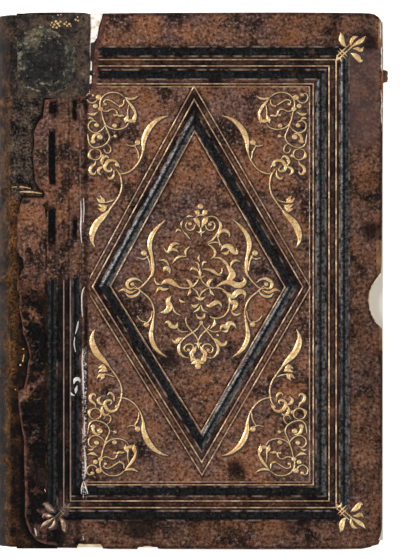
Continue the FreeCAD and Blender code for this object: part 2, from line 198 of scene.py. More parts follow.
# Its torn sides, and the line of the head where it wraps round the board
PATCH_TORN = PATCH_EDGE[6:]
PATCH_HEAD = ((17.2, 13), (100, 12.3))
# Edge of the back cover, as seen from the front: head, joint, tail and fore-edge
BACK_EDGE = (
    (380.5, 14.5), (373, 12.6), (340, 12.3), (200, 12.25), (60, 12.3), (27, 12.8), (26, 60), (27.4, 120),
    (25.6, 190), (27, 260), (26.2, 330), (27.4, 400), (25.8, 470), (27, 549), (60, 549.6), (200, 549.75),
    (340, 549.6), (373, 549.4), (380.5, 547.5), (383, 541), (383.3, 500), (383.3, 60), (383, 21),
)
# Its parts that wrap round the board, and its torn edge along the joint
BACK_WRAPPED = BACK_EDGE[13:] + BACK_EDGE[:6]
BACK_TORN = BACK_EDGE[5:14]
BACK_INNER_FRAME = (110.0, 108.0, 290.0, 456.0)
# Mirrors of the ornament, each the sum of a pixel and its copy, across and along
CORNER_MIRROR = (394.6, 568.0)
CRESCENT_MIRROR = (390.6, 571.5)
LEAF_MIRROR = (391.4, 576.6)
SIDE_MIRROR = 399.0
FLOWER_MIRROR = (405.6, 564.6)
# Change of a stroke's half width, in pixels, for most of the gold and for worn ornaments
GOLD_SPREAD = -0.12
WORN_SPREADS = {"gilt_corner_pieces": -0.24, "gilt_worn_flower": -0.55}
GATHERINGS = 12
# Width of the leather turned in under a board
TURN_IN = 14 * MM
# Clearance around a CAD solid that a piece is carved to fit
CARVE_GAP = 0.02 * MM
# How far the carving solids reach past the joint
PAST_JOINT = 9 * MM

# Stage: lamps by name, place, width in metres and power in watts, and the light of the surroundings
LAMPS = (("window_light", (-0.98, 0.34, 1.25), 0.5, 19.5), ("far_window", (0.85, -0.3, 1.4), 0.9, 8.8))
ROOM_LIGHT = 0.23
TABLE_WIDTH = 12
TABLE_GLOW = 0.7
SENSOR_WIDTH = 36


def sizes():
    return bpy.context.scene.book_sizes


def colours():
    return bpy.context.scene.book_colours


def paint(red, green, blue):
    """Give the linear colour of a screen colour written as 0 to 255."""
    channels = []
    for value in (red, green, blue):
        share = value / 255
        channels.append(share / 12.92 if share <= 0.04045 else ((share + 0.055) / 1.055) ** 2.4)
    return (*channels, 1.0)


def spot(px, py):
    """Give the place on the cover, in metres, of a pixel of the photograph."""
    pixel = sizes().photo_pixel
    return JOINT_X + (px - JOINT_PX) * pixel, (MIDDLE_PY - py) * pixel


def spots(outline):
    return [spot(px, py) for px, py in outline]


def x_of(px):
    return spot(px, 0)[0]


def y_of(py):
    return spot(0, py)[1]


def between(start, end, share):
    return start + (end - start) * share


# Making and shaping meshes


def set_mode(mode):
    bpy.ops.object.mode_set(mode=mode)


def deselect_all():
    active = bpy.context.view_layer.objects.active
    if active and active.mode != "OBJECT":
        set_mode("OBJECT")
    bpy.ops.object.select_all(action="DESELECT")


def pick(obj):
    deselect_all()
    obj.select_set(True)
    bpy.context.view_layer.objects.active = obj


def named(name):
    obj = bpy.context.object
    obj.name = name
    obj.data.name = name
    return obj


def points_of(obj):
    flat = np.empty(len(obj.data.vertices) * 3)
    obj.data.vertices.foreach_get("co", flat)
    return flat.reshape(-1, 3)


def set_points(obj, *axes):
    places = np.column_stack(np.broadcast_arrays(*axes)).astype(float)
    obj.data.vertices.foreach_set("co", places.ravel())
    obj.data.update()


def sheet(name, columns, rows, place):
    """Make a grid and put each point where place says, for shares from 0 to 1 across and along."""
    deselect_all()
    bpy.ops.mesh.primitive_grid_add(x_subdivisions=columns, y_subdivisions=rows, size=1)
    obj = named(name)
    shares = points_of(obj) + 0.5
    set_points(obj, *place(shares[:, 0], shares[:, 1]))
    return obj


def recalculate(obj):
    pick(obj)
    set_mode("EDIT")
    bpy.ops.mesh.select_all(action="SELECT")
    bpy.ops.mesh.remove_doubles(threshold=0.002 * MM)
    bpy.ops.mesh.normals_make_consistent(inside=False)
    set_mode("OBJECT")


def close_down_to(obj, level):
    """Close an open relief into a solid with a flat underside at this height."""
    pick(obj)
    set_mode("EDIT")
    bpy.ops.mesh.select_mode(type="EDGE")
    bpy.ops.mesh.select_all(action="DESELECT")
    bpy.ops.mesh.select_non_manifold()
    bpy.ops.mesh.extrude_edges_move(TRANSFORM_OT_translate={"value": (0, 0, -MM)})
    set_mode("OBJECT")
    for vertex in obj.data.vertices:
        if vertex.select:
            vertex.co.z = level
    set_mode("EDIT")
    bpy.ops.mesh.edge_face_add()
    set_mode("OBJECT")
    recalculate(obj)


def block(name, outline, low, high):
    """Make a solid with this outline, in metres, between two heights."""
    deselect_all()
    bpy.ops.mesh.primitive_circle_add(vertices=len(outline), fill_type="NGON")
    obj = named(name)
    across, along = np.array(outline).T
    set_points(obj, across, along, low)
    set_mode("EDIT")
    bpy.ops.mesh.select_all(action="SELECT")
    bpy.ops.mesh.extrude_region_move(TRANSFORM_OT_translate={"value": (0, 0, high - low)})
    set_mode("OBJECT")
    recalculate(obj)
    return obj


def box_block(name, low, high):
    (x1, y1, z1), (x2, y2, z2) = low, high
    return block(name, [(x1, y1), (x2, y1), (x2, y2), (x1, y2)], z1, z2)


def carve(obj, tool, operation="DIFFERENCE"):
    pick(obj)
    modifier = obj.modifiers.new("carve", "BOOLEAN")
    modifier.operation = operation
    modifier.solver = "MANIFOLD"
    modifier.object = tool
    bpy.ops.object.modifier_apply(modifier=modifier.name)
    bpy.data.objects.remove(tool)


def thicken(obj, thickness, offset=-1):
    """Give a sheet a thickness, under its surface unless the offset says otherwise."""
    pick(obj)
    modifier = obj.modifiers.new("thickness", "SOLIDIFY")
    modifier.thickness = thickness
    modifier.offset = offset
    bpy.ops.object.modifier_apply(modifier=modifier.name)


def join(name, pieces):
    deselect_all()
    for piece in pieces:
        piece.select_set(True)
    bpy.context.view_layer.objects.active = pieces[0]
    bpy.ops.object.join()
    return named(name)


def flip_to_back(obj):
    """Turn a piece made for the front cover over to the same place on the back cover."""
    across, along, height = points_of(obj).T
    set_points(obj, across, along, BOOK_TOP - height)
    recalculate(obj)


def store(obj, name, values):
    attribute = obj.data.attributes.new(name, "FLOAT", "POINT")
    attribute.data.foreach_set("value", np.asarray(values, dtype=np.float32))


def finish(obj, body, slot, material, *nodes, angle=35):
    """Smooth a piece, give it a material by name and let it ride on a body in place of CAD nodes."""
    pick(obj)
    bpy.ops.object.shade_smooth_by_angle(angle=math.radians(angle))
    obj.data.materials.clear()
    obj.data.materials.append(materials()[material])
    if body:
        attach(obj, body)
    if nodes:
        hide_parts(*nodes)


# Shapes as functions of the place on the cover


def smooth_step(value, start, end):
    share = np.clip((value - start) / (end - start), 0, 1)
    return share * share * (3 - 2 * share)


def ripple(x, y, size, seed):
    """Smooth unevenness between about -1 and 1, with features of this size, the same in each run."""
    total = 0
    for count in range(6):
        turn = seed * 1.7 + count * 2.4
        pace = 2 * math.pi / size * (0.65 + 0.17 * count)
        total = total + np.sin(pace * (x * math.cos(turn) + y * math.sin(turn)) + seed * 3.1 + count * count)
    return total / 3


def hill(distance, width):
    """A smooth rise that is 1 at a distance of zero and fades over a width."""
    return np.exp(-((distance / width) ** 2))


def uneven(x, y, *waves):
    """Add up ripples, each written as a height, a size and a seed, in millimetres."""
    return sum(height * ripple(x, y, size * MM, seed) for height, size, seed in waves) * MM


def line_distance(x, y, outline):
    """Distance from each place to the nearest part of a line given in pixels."""
    corners = np.array(spots(outline))
    nearest = np.full(x.shape, 1.0)
    for (ax, ay), (bx, by) in zip(corners[:-1], corners[1:]):
        length = (bx - ax) ** 2 + (by - ay) ** 2
        share = np.clip(((x - ax) * (bx - ax) + (y - ay) * (by - ay)) / length, 0, 1)
        nearest = np.minimum(nearest, np.hypot(x - ax - share * (bx - ax), y - ay - share * (by - ay)))
    return nearest


def frame_distance(x, y, edges):
    """Distance from each place to a rectangle's outline, with square corners inside and out."""
    left, top = spot(edges[0], edges[1])
    right, bottom = spot(edges[2], edges[3])
    across = np.abs(x - (left + right) / 2) - (right - left) / 2
    along = np.abs(y - (top + bottom) / 2) - (top - bottom) / 2
    return np.abs(np.maximum(across, along))


def inwards(start, end, middle):
    """Give the unit direction across a side, towards the middle."""
    across = np.array([start[1] - end[1], end[0] - start[0]]) / np.hypot(*(end - start))
    return across if across @ (middle - start) > 0 else -across


def lozenge_sides():
    """Give each side of the lozenge as a direction inwards and how far out it lies."""
    corners = np.array(spots(LOZENGE))
    sides = []
    for start, end in zip(corners, np.roll(corners, -1, axis=0)):
        across = inwards(start, end, corners.mean(axis=0))
        sides.append((across[0], across[1], -across @ start))
    return sides


def lozenge_depth(x, y):
    return np.minimum.reduce([x * side[0] + y * side[1] + side[2] for side in lozenge_sides()])


def lozenge_inside(inset):
    """Give the lozenge's four corners, moved in by a number of pixels."""
    sides = lozenge_sides()
    corners = []
    for first, second in zip(sides[-1:] + sides[:-1], sides):
        matrix = np.array([first[:2], second[:2]])
        reach = inset * sizes().photo_pixel
        corners.append(tuple(np.linalg.solve(matrix, [reach - first[2], reach - second[2]])))
    return corners


def band_rise(distance):
    share = np.clip(distance / (BAND_HALF_WIDTH * sizes().photo_pixel), 0, 1)
    return sizes().band_height * (1 - share**2)


def leather_relief(x, y):
    """Height of the old leather's tooled surface, without its edges."""
    to_band = np.minimum(frame_distance(x, y, OUTER_BAND), frame_distance(x, y, INNER_BAND))
    rise = band_rise(to_band)
    rubbed_x, rubbed_y = spot(RUBBED_PX, RUBBED_PY)
    rise = rise * (1 - 0.8 * (x < rubbed_x) * (y > rubbed_y))
    to_lozenge = np.abs(lozenge_depth(x, y) - LOZENGE_BAND_INSET * sizes().photo_pixel)
    rise = np.maximum(rise, band_rise(to_lozenge))
    for edges in (FILLET_1, FILLET_2, FILLET_3, BLIND_LINE):
        rise = rise - 0.09 * MM * hill(frame_distance(x, y, edges), 0.5 * MM)
    crease_x = x_of(CREASE_PX)
    lower_side = 0.16 * MM * smooth_step(crease_x - x, -0.6 * MM, 1.2 * MM)
    low_end = smooth_step(y_of(196) - y, -2 * MM, 2 * MM)
    crack = line_distance(x, y, SHORT_CRACK)
    rise = rise - lower_side * low_end - 0.35 * MM * hill(crack, 0.55 * MM)
    return FIELD + rise + uneven(x, y, (0.05, 31, 1), (0.03, 9, 2), (0.015, 3.4, 3))


def edge_shape(x, y, wrapped, torn):
    """How far the surface drops near edges that wrap round the board, and near torn ones."""
    near_wrapped = np.clip(line_distance(x, y, wrapped) / EDGE_ROUND, 0, 1)
    drop = EDGE_DROP * (1 - near_wrapped) ** 2
    to_torn = line_distance(x, y, torn)
    near_torn = np.clip(to_torn / (0.5 * MM), 0, 1)
    lift = (0.28 + 0.2 * ripple(x, y, 11 * MM, 25) + 0.16 * (y < y_of(430))) * MM
    curl = lift * hill(to_torn - 0.9 * MM, 0.8 * MM)
    return drop + TORN_DROP * (1 - near_torn) ** 2 - curl


def old_leather_height(x, y):
    return leather_relief(x, y) - edge_shape(x, y, COVER_EDGE, TORN_EDGE + CRACK_EDGE)


def patch_height(x, y):
    middle_x, middle_y = spot(45, 60)
    bulge = 0.12 * MM * np.exp(-(((x - middle_x) / (15 * MM)) ** 2 + ((y - middle_y) / (15 * MM)) ** 2))
    surface_height = FIELD - 0.08 * MM + bulge + uneven(x, y, (0.05, 11, 5), (0.03, 4, 6))
    return surface_height - edge_shape(x, y, PATCH_HEAD, PATCH_TORN)


def back_height(x, y):
    """The back cover's plain surface with two blind frames, as seen with that cover turned up."""
    drop = 0
    for edges in (OUTER_BAND, FILLET_1, BACK_INNER_FRAME):
        drop = drop + 0.14 * MM * hill(frame_distance(x, y, edges), 0.6 * MM)
    height = FIELD + 0.12 * MM + uneven(x, y, (0.04, 23, 8), (0.02, 5, 9))
    return np.minimum(height - drop - edge_shape(x, y, BACK_WRAPPED, BACK_TORN), BOOK_TOP)


def board_outline(gap):
    """Outline of a board with its two rounded corners, made wider by a gap."""
    left = JOINT_X - PAST_JOINT
    right = BOARD_HIGH[0] + gap
    foot = BOARD_LOW[1] - gap
    head = BOARD_HIGH[1] + gap
    outline = [(left, head), (left, foot)]
    for radius, turn, middle_y in ((TAIL_ROUND, -90, foot + TAIL_ROUND), (HEAD_ROUND, 0, head - HEAD_ROUND)):
        for step in range(9):
            angle = math.radians(turn + step * 90 / 8)
            outline.append((right - radius + radius * math.cos(angle), middle_y + radius * math.sin(angle)))
    return outline


def cover_skin(name, outline, height, columns, rows, underside=LEATHER_LOW[2]):
    """Make leather over a board: a relief on top, wrapped round the edges, with turn-ins inside."""
    corners = spots(outline)
    lowest = np.min(corners, axis=0) - MM
    highest = np.max(corners, axis=0) + MM

    def place(u, v):
        x = between(lowest[0], highest[0], u)
        y = between(lowest[1], highest[1], v)
        return x, y, height(x, y)

    skin = sheet(name, columns, rows, place)
    close_down_to(skin, underside)
    carve(skin, block("outline", corners, underside - MM, BOOK_TOP + MM), "INTERSECT")
    gap = CARVE_GAP
    left = JOINT_X - PAST_JOINT
    carve(skin, block("board_room", board_outline(gap), BOARD_LOW[2] - gap, BOARD_HIGH[2]))
    carve(skin, box_block("flap_room", (left, FLAP_LOW[1] - gap, underside - MM),
                          (FLAP_HIGH[0] + gap, FLAP_HIGH[1] + gap, FLAP_HIGH[2])))
    carve(skin, box_block("window", (left, LEATHER_LOW[1] + TURN_IN, underside - MM),
                          (LEATHER_HIGH[0] - TURN_IN, LEATHER_HIGH[1] - TURN_IN, BOARD_LOW[2] + gap)))
    return skin


# Strokes of the ornament: each a list of pixel column, pixel row and half width in pixels


def thin(*points, half=0.85):
    last = len(points) - 1
    return [(x, y, half * (0.6 if index in (0, last) else 1)) for index, (x, y) in enumerate(points)]


def leaf(widest, *points):
    """A stroke that swells from a point and ends as a point."""
    last = len(points) - 1
    return [(x, y, 0.3 + (widest - 0.3) * math.sin(math.pi * i / last)) for i, (x, y) in enumerate(points)]


def horn(widest, *points):
    """A stroke that starts thin and ends as a round bulb."""
    last = len(points) - 1
    swell = [(x, y, 0.7 + (widest - 0.7) * (i / last) ** 2) for i, (x, y) in enumerate(points)]
    return swell[:-1] + [(*points[-1], widest * 0.75)]


def ball(x, y, half):
    return [(x + half * share, y, half * math.sqrt(1.05 - share * share)) for share in (-1, -0.7, 0, 0.7, 1)]


CORNER_PIECE = (
    thin((270.5, 97), (275.6, 93.3), (280.7, 92.3), (287, 93.3), (292.2, 97), (294.7, 103.5), (292.8, 113),
         (290.9, 120.7), (287.7, 125.8), (280.7, 129), (274.3, 129), (268.6, 126.5), (266, 122.6)),
    leaf(1.6, (256, 95.6), (261, 98.4), (266.7, 98.6), (270.5, 97)),
    leaf(1.8, (270, 97.5), (266, 102.2), (261.6, 108), (259.3, 113), (257.8, 119)),
    thin((266, 105), (266.9, 112.4), (266, 119)),
    leaf(2.4, (259, 112), (260.5, 119), (260.4, 124)),
    leaf(2.6, (266.5, 114), (268.6, 119.5), (269.5, 123.5)),
    leaf(2.2, (258, 121.5), (264, 121), (271, 119.8)),
    horn(1.9, (270.5, 99.5), (271.6, 104.6), (275.8, 106.4)),
    thin((275.6, 106), (279.4, 103.5), (283.3, 101), (287, 99.7), (290.6, 101.2), (289.8, 104.3)),
    ball(289.2, 104.2, 1.7),
    thin((294, 108.6), (291.6, 110.5), (287, 111.1), (283.3, 109.2), (279.4, 109.9), (278.2, 113)),
    horn(2, (278.2, 110.6), (277.6, 114.4), (281, 115.2)),
    leaf(1.6, (278.2, 112), (275.6, 115.8), (272.4, 115.4), (269.5, 116)),
    ball(280, 125.6, 2.5),
    ball(296, 97.3, 3),
    thin((296.5, 98.5), (299, 101.4), (302.4, 102.9), (306.4, 101), (308, 97), (305.4, 93.4), (302, 94.4)),
    ball(302.3, 95, 2),
    ball(299.2, 106, 2.6),
    ball(294, 108.8, 2.6),
    leaf(1.9, (296.3, 111.6), (301.8, 114.4), (307.4, 113.4)),
    thin((292, 117), (289, 126.5), (286.5, 132.5), (285.2, 136), (285.8, 139.8), (289.6, 144.3),
         (295.4, 146.9), (301.1, 147.3), (304.9, 144.3), (306.2, 139.6), (307, 134)),
    thin((289.6, 125.8), (293.5, 130.3), (298.6, 132.5), (303.7, 130.9), (306.2, 126.8), (304.6, 122),
         (300.5, 120.8), (297.4, 122.6)),
    ball(298, 125.2, 2.5),
    leaf(1.5, (300, 120.8), (303.6, 118), (307, 118.6)),
    ball(294.7, 136.9, 2.9),
    leaf(2, (293.5, 133.3), (299.2, 134.4), (301.6, 138.4), (301.3, 143)),
    ball(301.6, 141.4, 2.5),
    ball(279.4, 136, 1.9),
    thin((279.4, 136), (285.4, 137.5)),
    thin((287.6, 143.4), (284.2, 147.4), (284.5, 151.8), (288.2, 152.8), (290.9, 149)),
    thin((299.2, 148.6), (304.2, 150.6), (305, 155), (302, 159), (297.2, 159.4), (293.9, 156),
         (294.4, 151), (299.2, 148.6)),
    leaf(2, (304.4, 150), (305.4, 156), (300.5, 160)),
    ball(292.4, 155.8, 2.2),
    leaf(1.9, (298.6, 159.6), (299.8, 164.1), (303.7, 167.3), (304.3, 171.7), (300.5, 174), (298.6, 170.5)),
)
CRESCENT_SCROLL = (
    leaf(3, (222, 115.6), (230, 118.2), (237, 123), (242, 129), (245.2, 135.4), (247.2, 142.4),
         (247.4, 149), (249.6, 157)),
    thin((246.4, 145), (248.8, 155.2), (253.3, 164.1), (259.7, 170.5), (266, 173.3), (272.4, 174)),
    ball(252.9, 142.4, 2.9),
    thin((252.9, 142.4), (256.4, 145.8), (263.4, 145)),
    thin((256, 146), (252.6, 152), (251.6, 159)),
    leaf(1.9, (270.5, 168), (272.4, 164.7), (275.6, 160.9), (281.4, 160.7), (284.7, 164.1), (285.8, 167.9),
         (282.6, 171.1), (278.8, 169.8), (280.7, 166.6)),
    ball(273.6, 164.6, 2.2),
    leaf(1.7, (281.4, 158.6), (284.5, 156.2), (287.7, 158.3), (289, 162.2), (286.2, 167)),
    ball(288.6, 161, 2),
    leaf(1.8, (284.5, 166.4), (290.9, 168.3), (292.4, 171.7), (289, 175.2)),
    leaf(1.5, (276.6, 170), (277.3, 176.2), (280.7, 178.6), (283.4, 176.2)),
)
LEAF_SCROLL = (
    thin((275.6, 168.8), (271.8, 174.1), (269.9, 181.8), (269.9, 188.2), (272.4, 195.8), (275.6, 200.9),
         (280.7, 207.9), (284.6, 213)),
    leaf(3.5, (281, 208.5), (284.5, 212.8), (289, 217.5), (294.1, 222.8), (297.7, 229.4), (299.4, 235.6),
         (299.2, 241.1), (296.4, 247.5)),
    thin((276.9, 199.6), (282, 201.6), (288.6, 202.6)),
    leaf(1.9, (286.6, 203.2), (288.4, 199.6), (291.6, 195.6)),
    leaf(2.1, (286.8, 202.6), (291, 201.4), (294.8, 198)),
    ball(290.8, 200.6, 1.9),
    leaf(2.5, (283.6, 205.4), (288.4, 206.4), (293.4, 204.4)),
    leaf(2.8, (284.4, 206.6), (288.6, 209.8), (293.2, 208.4)),
)
SIDE_SCROLL = (
    leaf(2.6, (233.2, 219.6), (241.6, 227.6), (247.4, 236), (249.4, 245.6), (247.6, 254.8), (246.6, 262)),
    leaf(1.9, (249, 240), (247.4, 254), (246.4, 264), (247, 274.6), (250, 278.4)),
    thin((246.8, 272), (249.4, 277.6), (254.8, 284), (260.4, 288.4), (265, 288.6)),
    ball(255, 253, 2.9),
    thin((250.4, 256), (255.4, 259), (261, 257.6)),
    thin((252.6, 255), (249.6, 262), (248.4, 271)),
    thin((264, 286), (257.8, 291.5), (249.4, 299), (245.4, 308), (244.8, 317)),
    leaf(2.5, (244.6, 312), (246.6, 325), (248, 335), (245.2, 345), (239.5, 352), (232.4, 357)),
    ball(252.7, 324.4, 2.8),
    thin((252.7, 324), (248.4, 319), (246.6, 311)),
    thin((253, 322), (258, 320.6), (262, 316)),
    leaf(1.9, (256, 283), (262, 279), (268, 279.6), (272, 284), (269, 288.6), (263, 286.4)),
    leaf(1.8, (262, 290), (269, 292.4), (275, 289.6), (280.6, 291.4)),
    leaf(1.7, (258, 289.6), (262.6, 295.2), (269.6, 296.4), (273.6, 293)),
    ball(266.4, 284.4, 2.2),
)
CENTRE_RIGHT = (
    thin((206, 217.4), (212.7, 216.4), (218, 219.6), (220.3, 226.4), (217.3, 233.3), (212.7, 239.4),
         (207.6, 242.8)),
    leaf(1.8, (216.4, 218.4), (220.6, 224), (219.6, 230), (216, 235)),
    thin((205.4, 224.6), (207.3, 229.2), (212.7, 229.8), (215, 225), (212.2, 221.8), (209.4, 223.6)),
    ball(210, 224.2, 1.9),
    leaf(2.1, (218, 238.4), (219.8, 232.4), (224.4, 230.6), (228.8, 233), (229.4, 237.2)),
    thin((216.8, 235), (219, 241), (220, 247)),
    thin((208, 244), (214.8, 242.2), (220.3, 244), (222.6, 249)),
    leaf(3, (220.6, 251), (224.6, 246.4), (229.4, 246.6), (233, 251), (236.8, 252.8), (236, 248)),
    leaf(2, (221.4, 252.6), (226, 253.6), (229.6, 249.6)),
    leaf(1.5, (207.6, 244.2), (212, 247), (215, 251.6), (214.4, 256), (210.6, 259)),
    leaf(1.7, (213, 257.7), (220.3, 258.3), (225, 262.1), (228.6, 267.7), (229.2, 273)),
    leaf(1.6, (230.2, 268), (232.6, 262), (236, 260.2), (240.8, 262)),
    leaf(3.7, (225.6, 264), (230, 269.4), (232.4, 275), (229.4, 279.4), (228, 283.6)),
    leaf(3.2, (216, 287.2), (223, 283), (230, 282.4), (237, 285.2), (242.2, 284.4), (245, 280.4), (243, 277)),
    leaf(1.9, (202.6, 269), (207.3, 269.4), (212.7, 270.9), (217, 274), (221.8, 275.4)),
    thin((218, 274.6), (221.6, 272.4), (222.2, 268)),
    thin((200.4, 277), (202.6, 281.6), (206.6, 285.6), (212, 288), (216.5, 287.7), (222, 289), (226.6, 293.4),
         (228.8, 299), (229.4, 305.2), (227.2, 312.4), (221.4, 317.2), (212, 317.6), (210, 316)),
    leaf(2, (210.4, 288), (208, 284.4), (210, 280.6), (213.4, 278.6)),
    leaf(1.7, (209.6, 288), (211.4, 292.6), (214.6, 296)),
    leaf(3, (222.4, 291), (228.6, 294), (233, 296.4), (237, 292.6), (242, 291.6), (245, 294.6),
         (244.6, 298.8)),
    leaf(2.9, (229.6, 296), (231, 302), (235.4, 303), (234.4, 307.6), (231.2, 311.6)),
    leaf(1.5, (230.4, 309.4), (235, 314.8), (241.4, 313)),
    leaf(2.5, (206.6, 304.6), (208.4, 306), (212, 304.6), (216, 302.4), (219.4, 302.8), (222, 307)),
    thin((199.2, 297.4), (201.6, 293), (205.4, 289.6), (209, 288)),
    leaf(1.7, (214, 318.6), (214.8, 323.4), (210, 329)),
    thin((201.4, 323.6), (206.4, 330.2), (211.6, 336.6), (216.3, 343.2), (218.4, 349), (216.5, 354.6),
         (211.4, 357.9), (205.4, 356.8)),
    leaf(1.7, (214, 340), (218, 347), (217.4, 353), (213, 357.4)),
    thin((197.8, 342.4), (200.4, 336.4), (207.3, 328.9), (210, 325.4)),
    thin((207.3, 328.9), (213.4, 331.8), (221, 330.6)),
    leaf(2.8, (220, 331.4), (222.4, 326), (226.6, 326.6), (229.6, 323.4), (233, 324), (236.6, 328.8)),
    leaf(1.6, (221, 331), (226.4, 331.2), (229, 327.6)),
    leaf(2.2, (212.6, 337.8), (217.3, 340.6), (221, 344.4), (225, 344), (227.2, 340)),
    ball(217.8, 335.2, 1.3),
    thin((203.4, 350), (202.8, 346.4), (206.4, 344), (211.4, 345.6), (213, 349.4), (210.6, 352.6),
         (207, 351)),
    ball(208.2, 350, 1.8),
)
CENTRE_LEFT = (
    leaf(1.3, (193.4, 216.6), (189.6, 216), (185.6, 217.2)),
    leaf(1.2, (183, 220), (181.4, 223.6), (181.3, 228)),
    leaf(1.2, (183, 231), (186.4, 234.6), (190.6, 240)),
    thin((195.4, 224.6), (192.8, 229.4), (188, 229.6), (185.8, 225.4), (187.4, 222)),
    ball(190, 223.8, 1.9),
    leaf(1.5, (175.6, 232.6), (178, 229.6), (181.4, 231.6)),
    leaf(1.9, (163.6, 247.4), (167.4, 251.8), (171.6, 245.4), (175.4, 243.4), (180.4, 244.6)),
    leaf(1.6, (167.6, 253.8), (171, 249.6), (175.4, 250), (178.8, 252.4)),
    leaf(1.4, (190, 246.4), (185.6, 250.8), (186, 257)),
    leaf(1.5, (187, 256.4), (178.6, 257), (172.6, 262.8)),
    leaf(1.6, (159, 260.4), (165, 260.4), (169.4, 266.6)),
    leaf(2.8, (163.4, 271.6), (165.4, 268.4), (168.6, 269.4), (170, 274)),
    leaf(1.4, (154.2, 278), (156.8, 283.6), (160.6, 284.4)),
    leaf(3, (160.6, 285), (165, 281.6), (170.6, 281.6), (175.6, 284.6), (180, 287.4)),
    thin((170, 280.4), (173, 284), (178.3, 286.8), (185, 288.2), (190, 287.6), (195.6, 283.6), (199.6, 277)),
    leaf(1.9, (190, 270.6), (192.6, 268.4), (196, 269.2), (199.4, 273)),
    leaf(2, (189.6, 288.4), (191, 284.4), (189, 281.4), (186.6, 279.4)),
    leaf(1.7, (190, 287.6), (190, 291.6), (187.4, 296)),
    thin((192, 287.7), (196.2, 291), (198.4, 295), (200, 297.8)),
    leaf(1.9, (156, 292.6), (159.4, 288.4), (164, 289.6), (169, 288.2)),
    leaf(3.4, (171.4, 295.6), (168, 301), (169.6, 307), (166, 311.4), (160.4, 312.6)),
    leaf(1.3, (172.6, 306.4), (175, 312), (181.4, 315.8)),
    leaf(1.6, (179, 299.4), (181.6, 301.6), (185.6, 302)),
    leaf(2, (191, 304.6), (194.4, 306.4), (199, 303.6)),
    thin((186, 317), (186.2, 323), (191.8, 331.2), (196, 336.4), (198.6, 342.6)),
    thin((201, 323.6), (196.6, 329.6), (192, 332.8), (184.6, 338), (179.4, 344.6), (178.3, 350.6), (182, 356),
         (189, 357.9)),
    leaf(1.9, (182, 340.6), (178.8, 347), (180.4, 354), (186, 357.4)),
    leaf(2.4, (164.4, 323.4), (168, 322), (171.4, 326), (176.4, 326.4), (177.6, 322.6)),
    thin((176.6, 326.6), (180.6, 331.4), (187.6, 331.4)),
    leaf(2.3, (171.8, 339.4), (175.4, 342.2), (179.4, 339), (182.8, 338)),
    thin((192.6, 349), (193.2, 346), (189.4, 344), (184.8, 346.6), (184.4, 350), (187, 352)),
    ball(188.6, 350, 1.9),
)
CENTRE_AXIS = (
    ball(200.6, 206.4, 3),
    leaf(3.1, (194.4, 211), (197.4, 212.6), (198.6, 216)),
    leaf(3.1, (208, 210.6), (205, 212.4), (202.6, 216)),
    leaf(3, (193.4, 218.6), (195.6, 219.6), (197.6, 222), (199.6, 227.6)),
    leaf(3, (208.6, 218), (206, 219.4), (204.4, 222), (201.6, 227.6)),
    thin((196.4, 216.4), (200.8, 214.8), (205.4, 216.4)),
    leaf(1.4, (200.8, 227), (200.9, 232), (201.4, 237)),
    leaf(1.4, (196.6, 231.4), (200.9, 232.6), (205.4, 231)),
    leaf(1.3, (199.4, 254.6), (198.6, 258.4), (199.6, 262)),
    leaf(1.2, (194.6, 262), (198, 263.6), (199, 270)),
    leaf(1.3, (207.6, 262.6), (204, 262), (202.4, 267)),
    leaf(1.8, (200, 268.4), (200, 273), (200.2, 279)),
    leaf(1.3, (194.6, 276.6), (200.2, 277.4), (205.4, 275.6)),
    leaf(2.1, (195.2, 297), (200.4, 299), (205.6, 296.6)),
    leaf(1.4, (200.6, 305), (198.6, 309), (193, 312.6)),
    leaf(1.4, (201.4, 305), (203, 310), (208.6, 312.4)),
    leaf(1.7, (195.8, 314), (199, 318), (203.8, 317), (205, 313)),
    ball(201.2, 322.4, 2),
    leaf(1.9, (198.4, 340), (198.4, 344.6), (198.8, 349)),
    leaf(1.5, (194.4, 343.4), (198.4, 343.6), (202, 343)),
    leaf(2.7, (196.6, 346), (194.2, 350), (191.6, 354.4), (194.6, 357.6)),
    leaf(2.7, (200.4, 346), (202.6, 350), (205.2, 354.4), (202, 357.6)),
    leaf(3.3, (190.2, 355.6), (193.4, 359.6), (197, 361)),
    leaf(3.3, (206.4, 356), (203.4, 359.8), (200, 361.4)),
    leaf(3.6, (191, 364), (197.6, 361.8), (204.4, 363.6)),
    ball(198, 366.4, 3.2),
)
CORNER_FLOWER = (
    thin((338, 59.6), (344.6, 53.4), (352.4, 46.6)),
    thin((336.8, 56.4), (342.6, 50.8), (349.6, 44.4)),
    leaf(1.0, (337.6, 50.6), (341.6, 54.6), (346.4, 59.2)),
    leaf(1.0, (339.6, 48.8), (343.6, 52.6), (348, 57)),
    leaf(1.5, (335.6, 61.6), (337.4, 58.4), (337, 54.6)),
    leaf(1.3, (341.4, 61.8), (340, 58.4), (336.8, 57.2)),
    leaf(3.0, (346.8, 47.4), (343.6, 44), (341.8, 39.6), (341.6, 35.4), (340.2, 32.4)),
    leaf(3.0, (350.6, 53), (354, 54.8), (357.6, 57.4), (360.4, 60.6), (363.2, 60)),
    leaf(2.1, (351, 46.8), (351.4, 41.8), (354, 37.6), (357.8, 36.4)),
    leaf(2.5, (353.4, 46), (358, 42.8), (361.6, 40.4), (365.8, 35.8)),
    leaf(2.3, (352.8, 48.6), (357.4, 48.8), (361, 50), (363.6, 46.8)),
    leaf(1.5, (349.8, 47.8), (355, 44.4), (359.6, 39)),
)
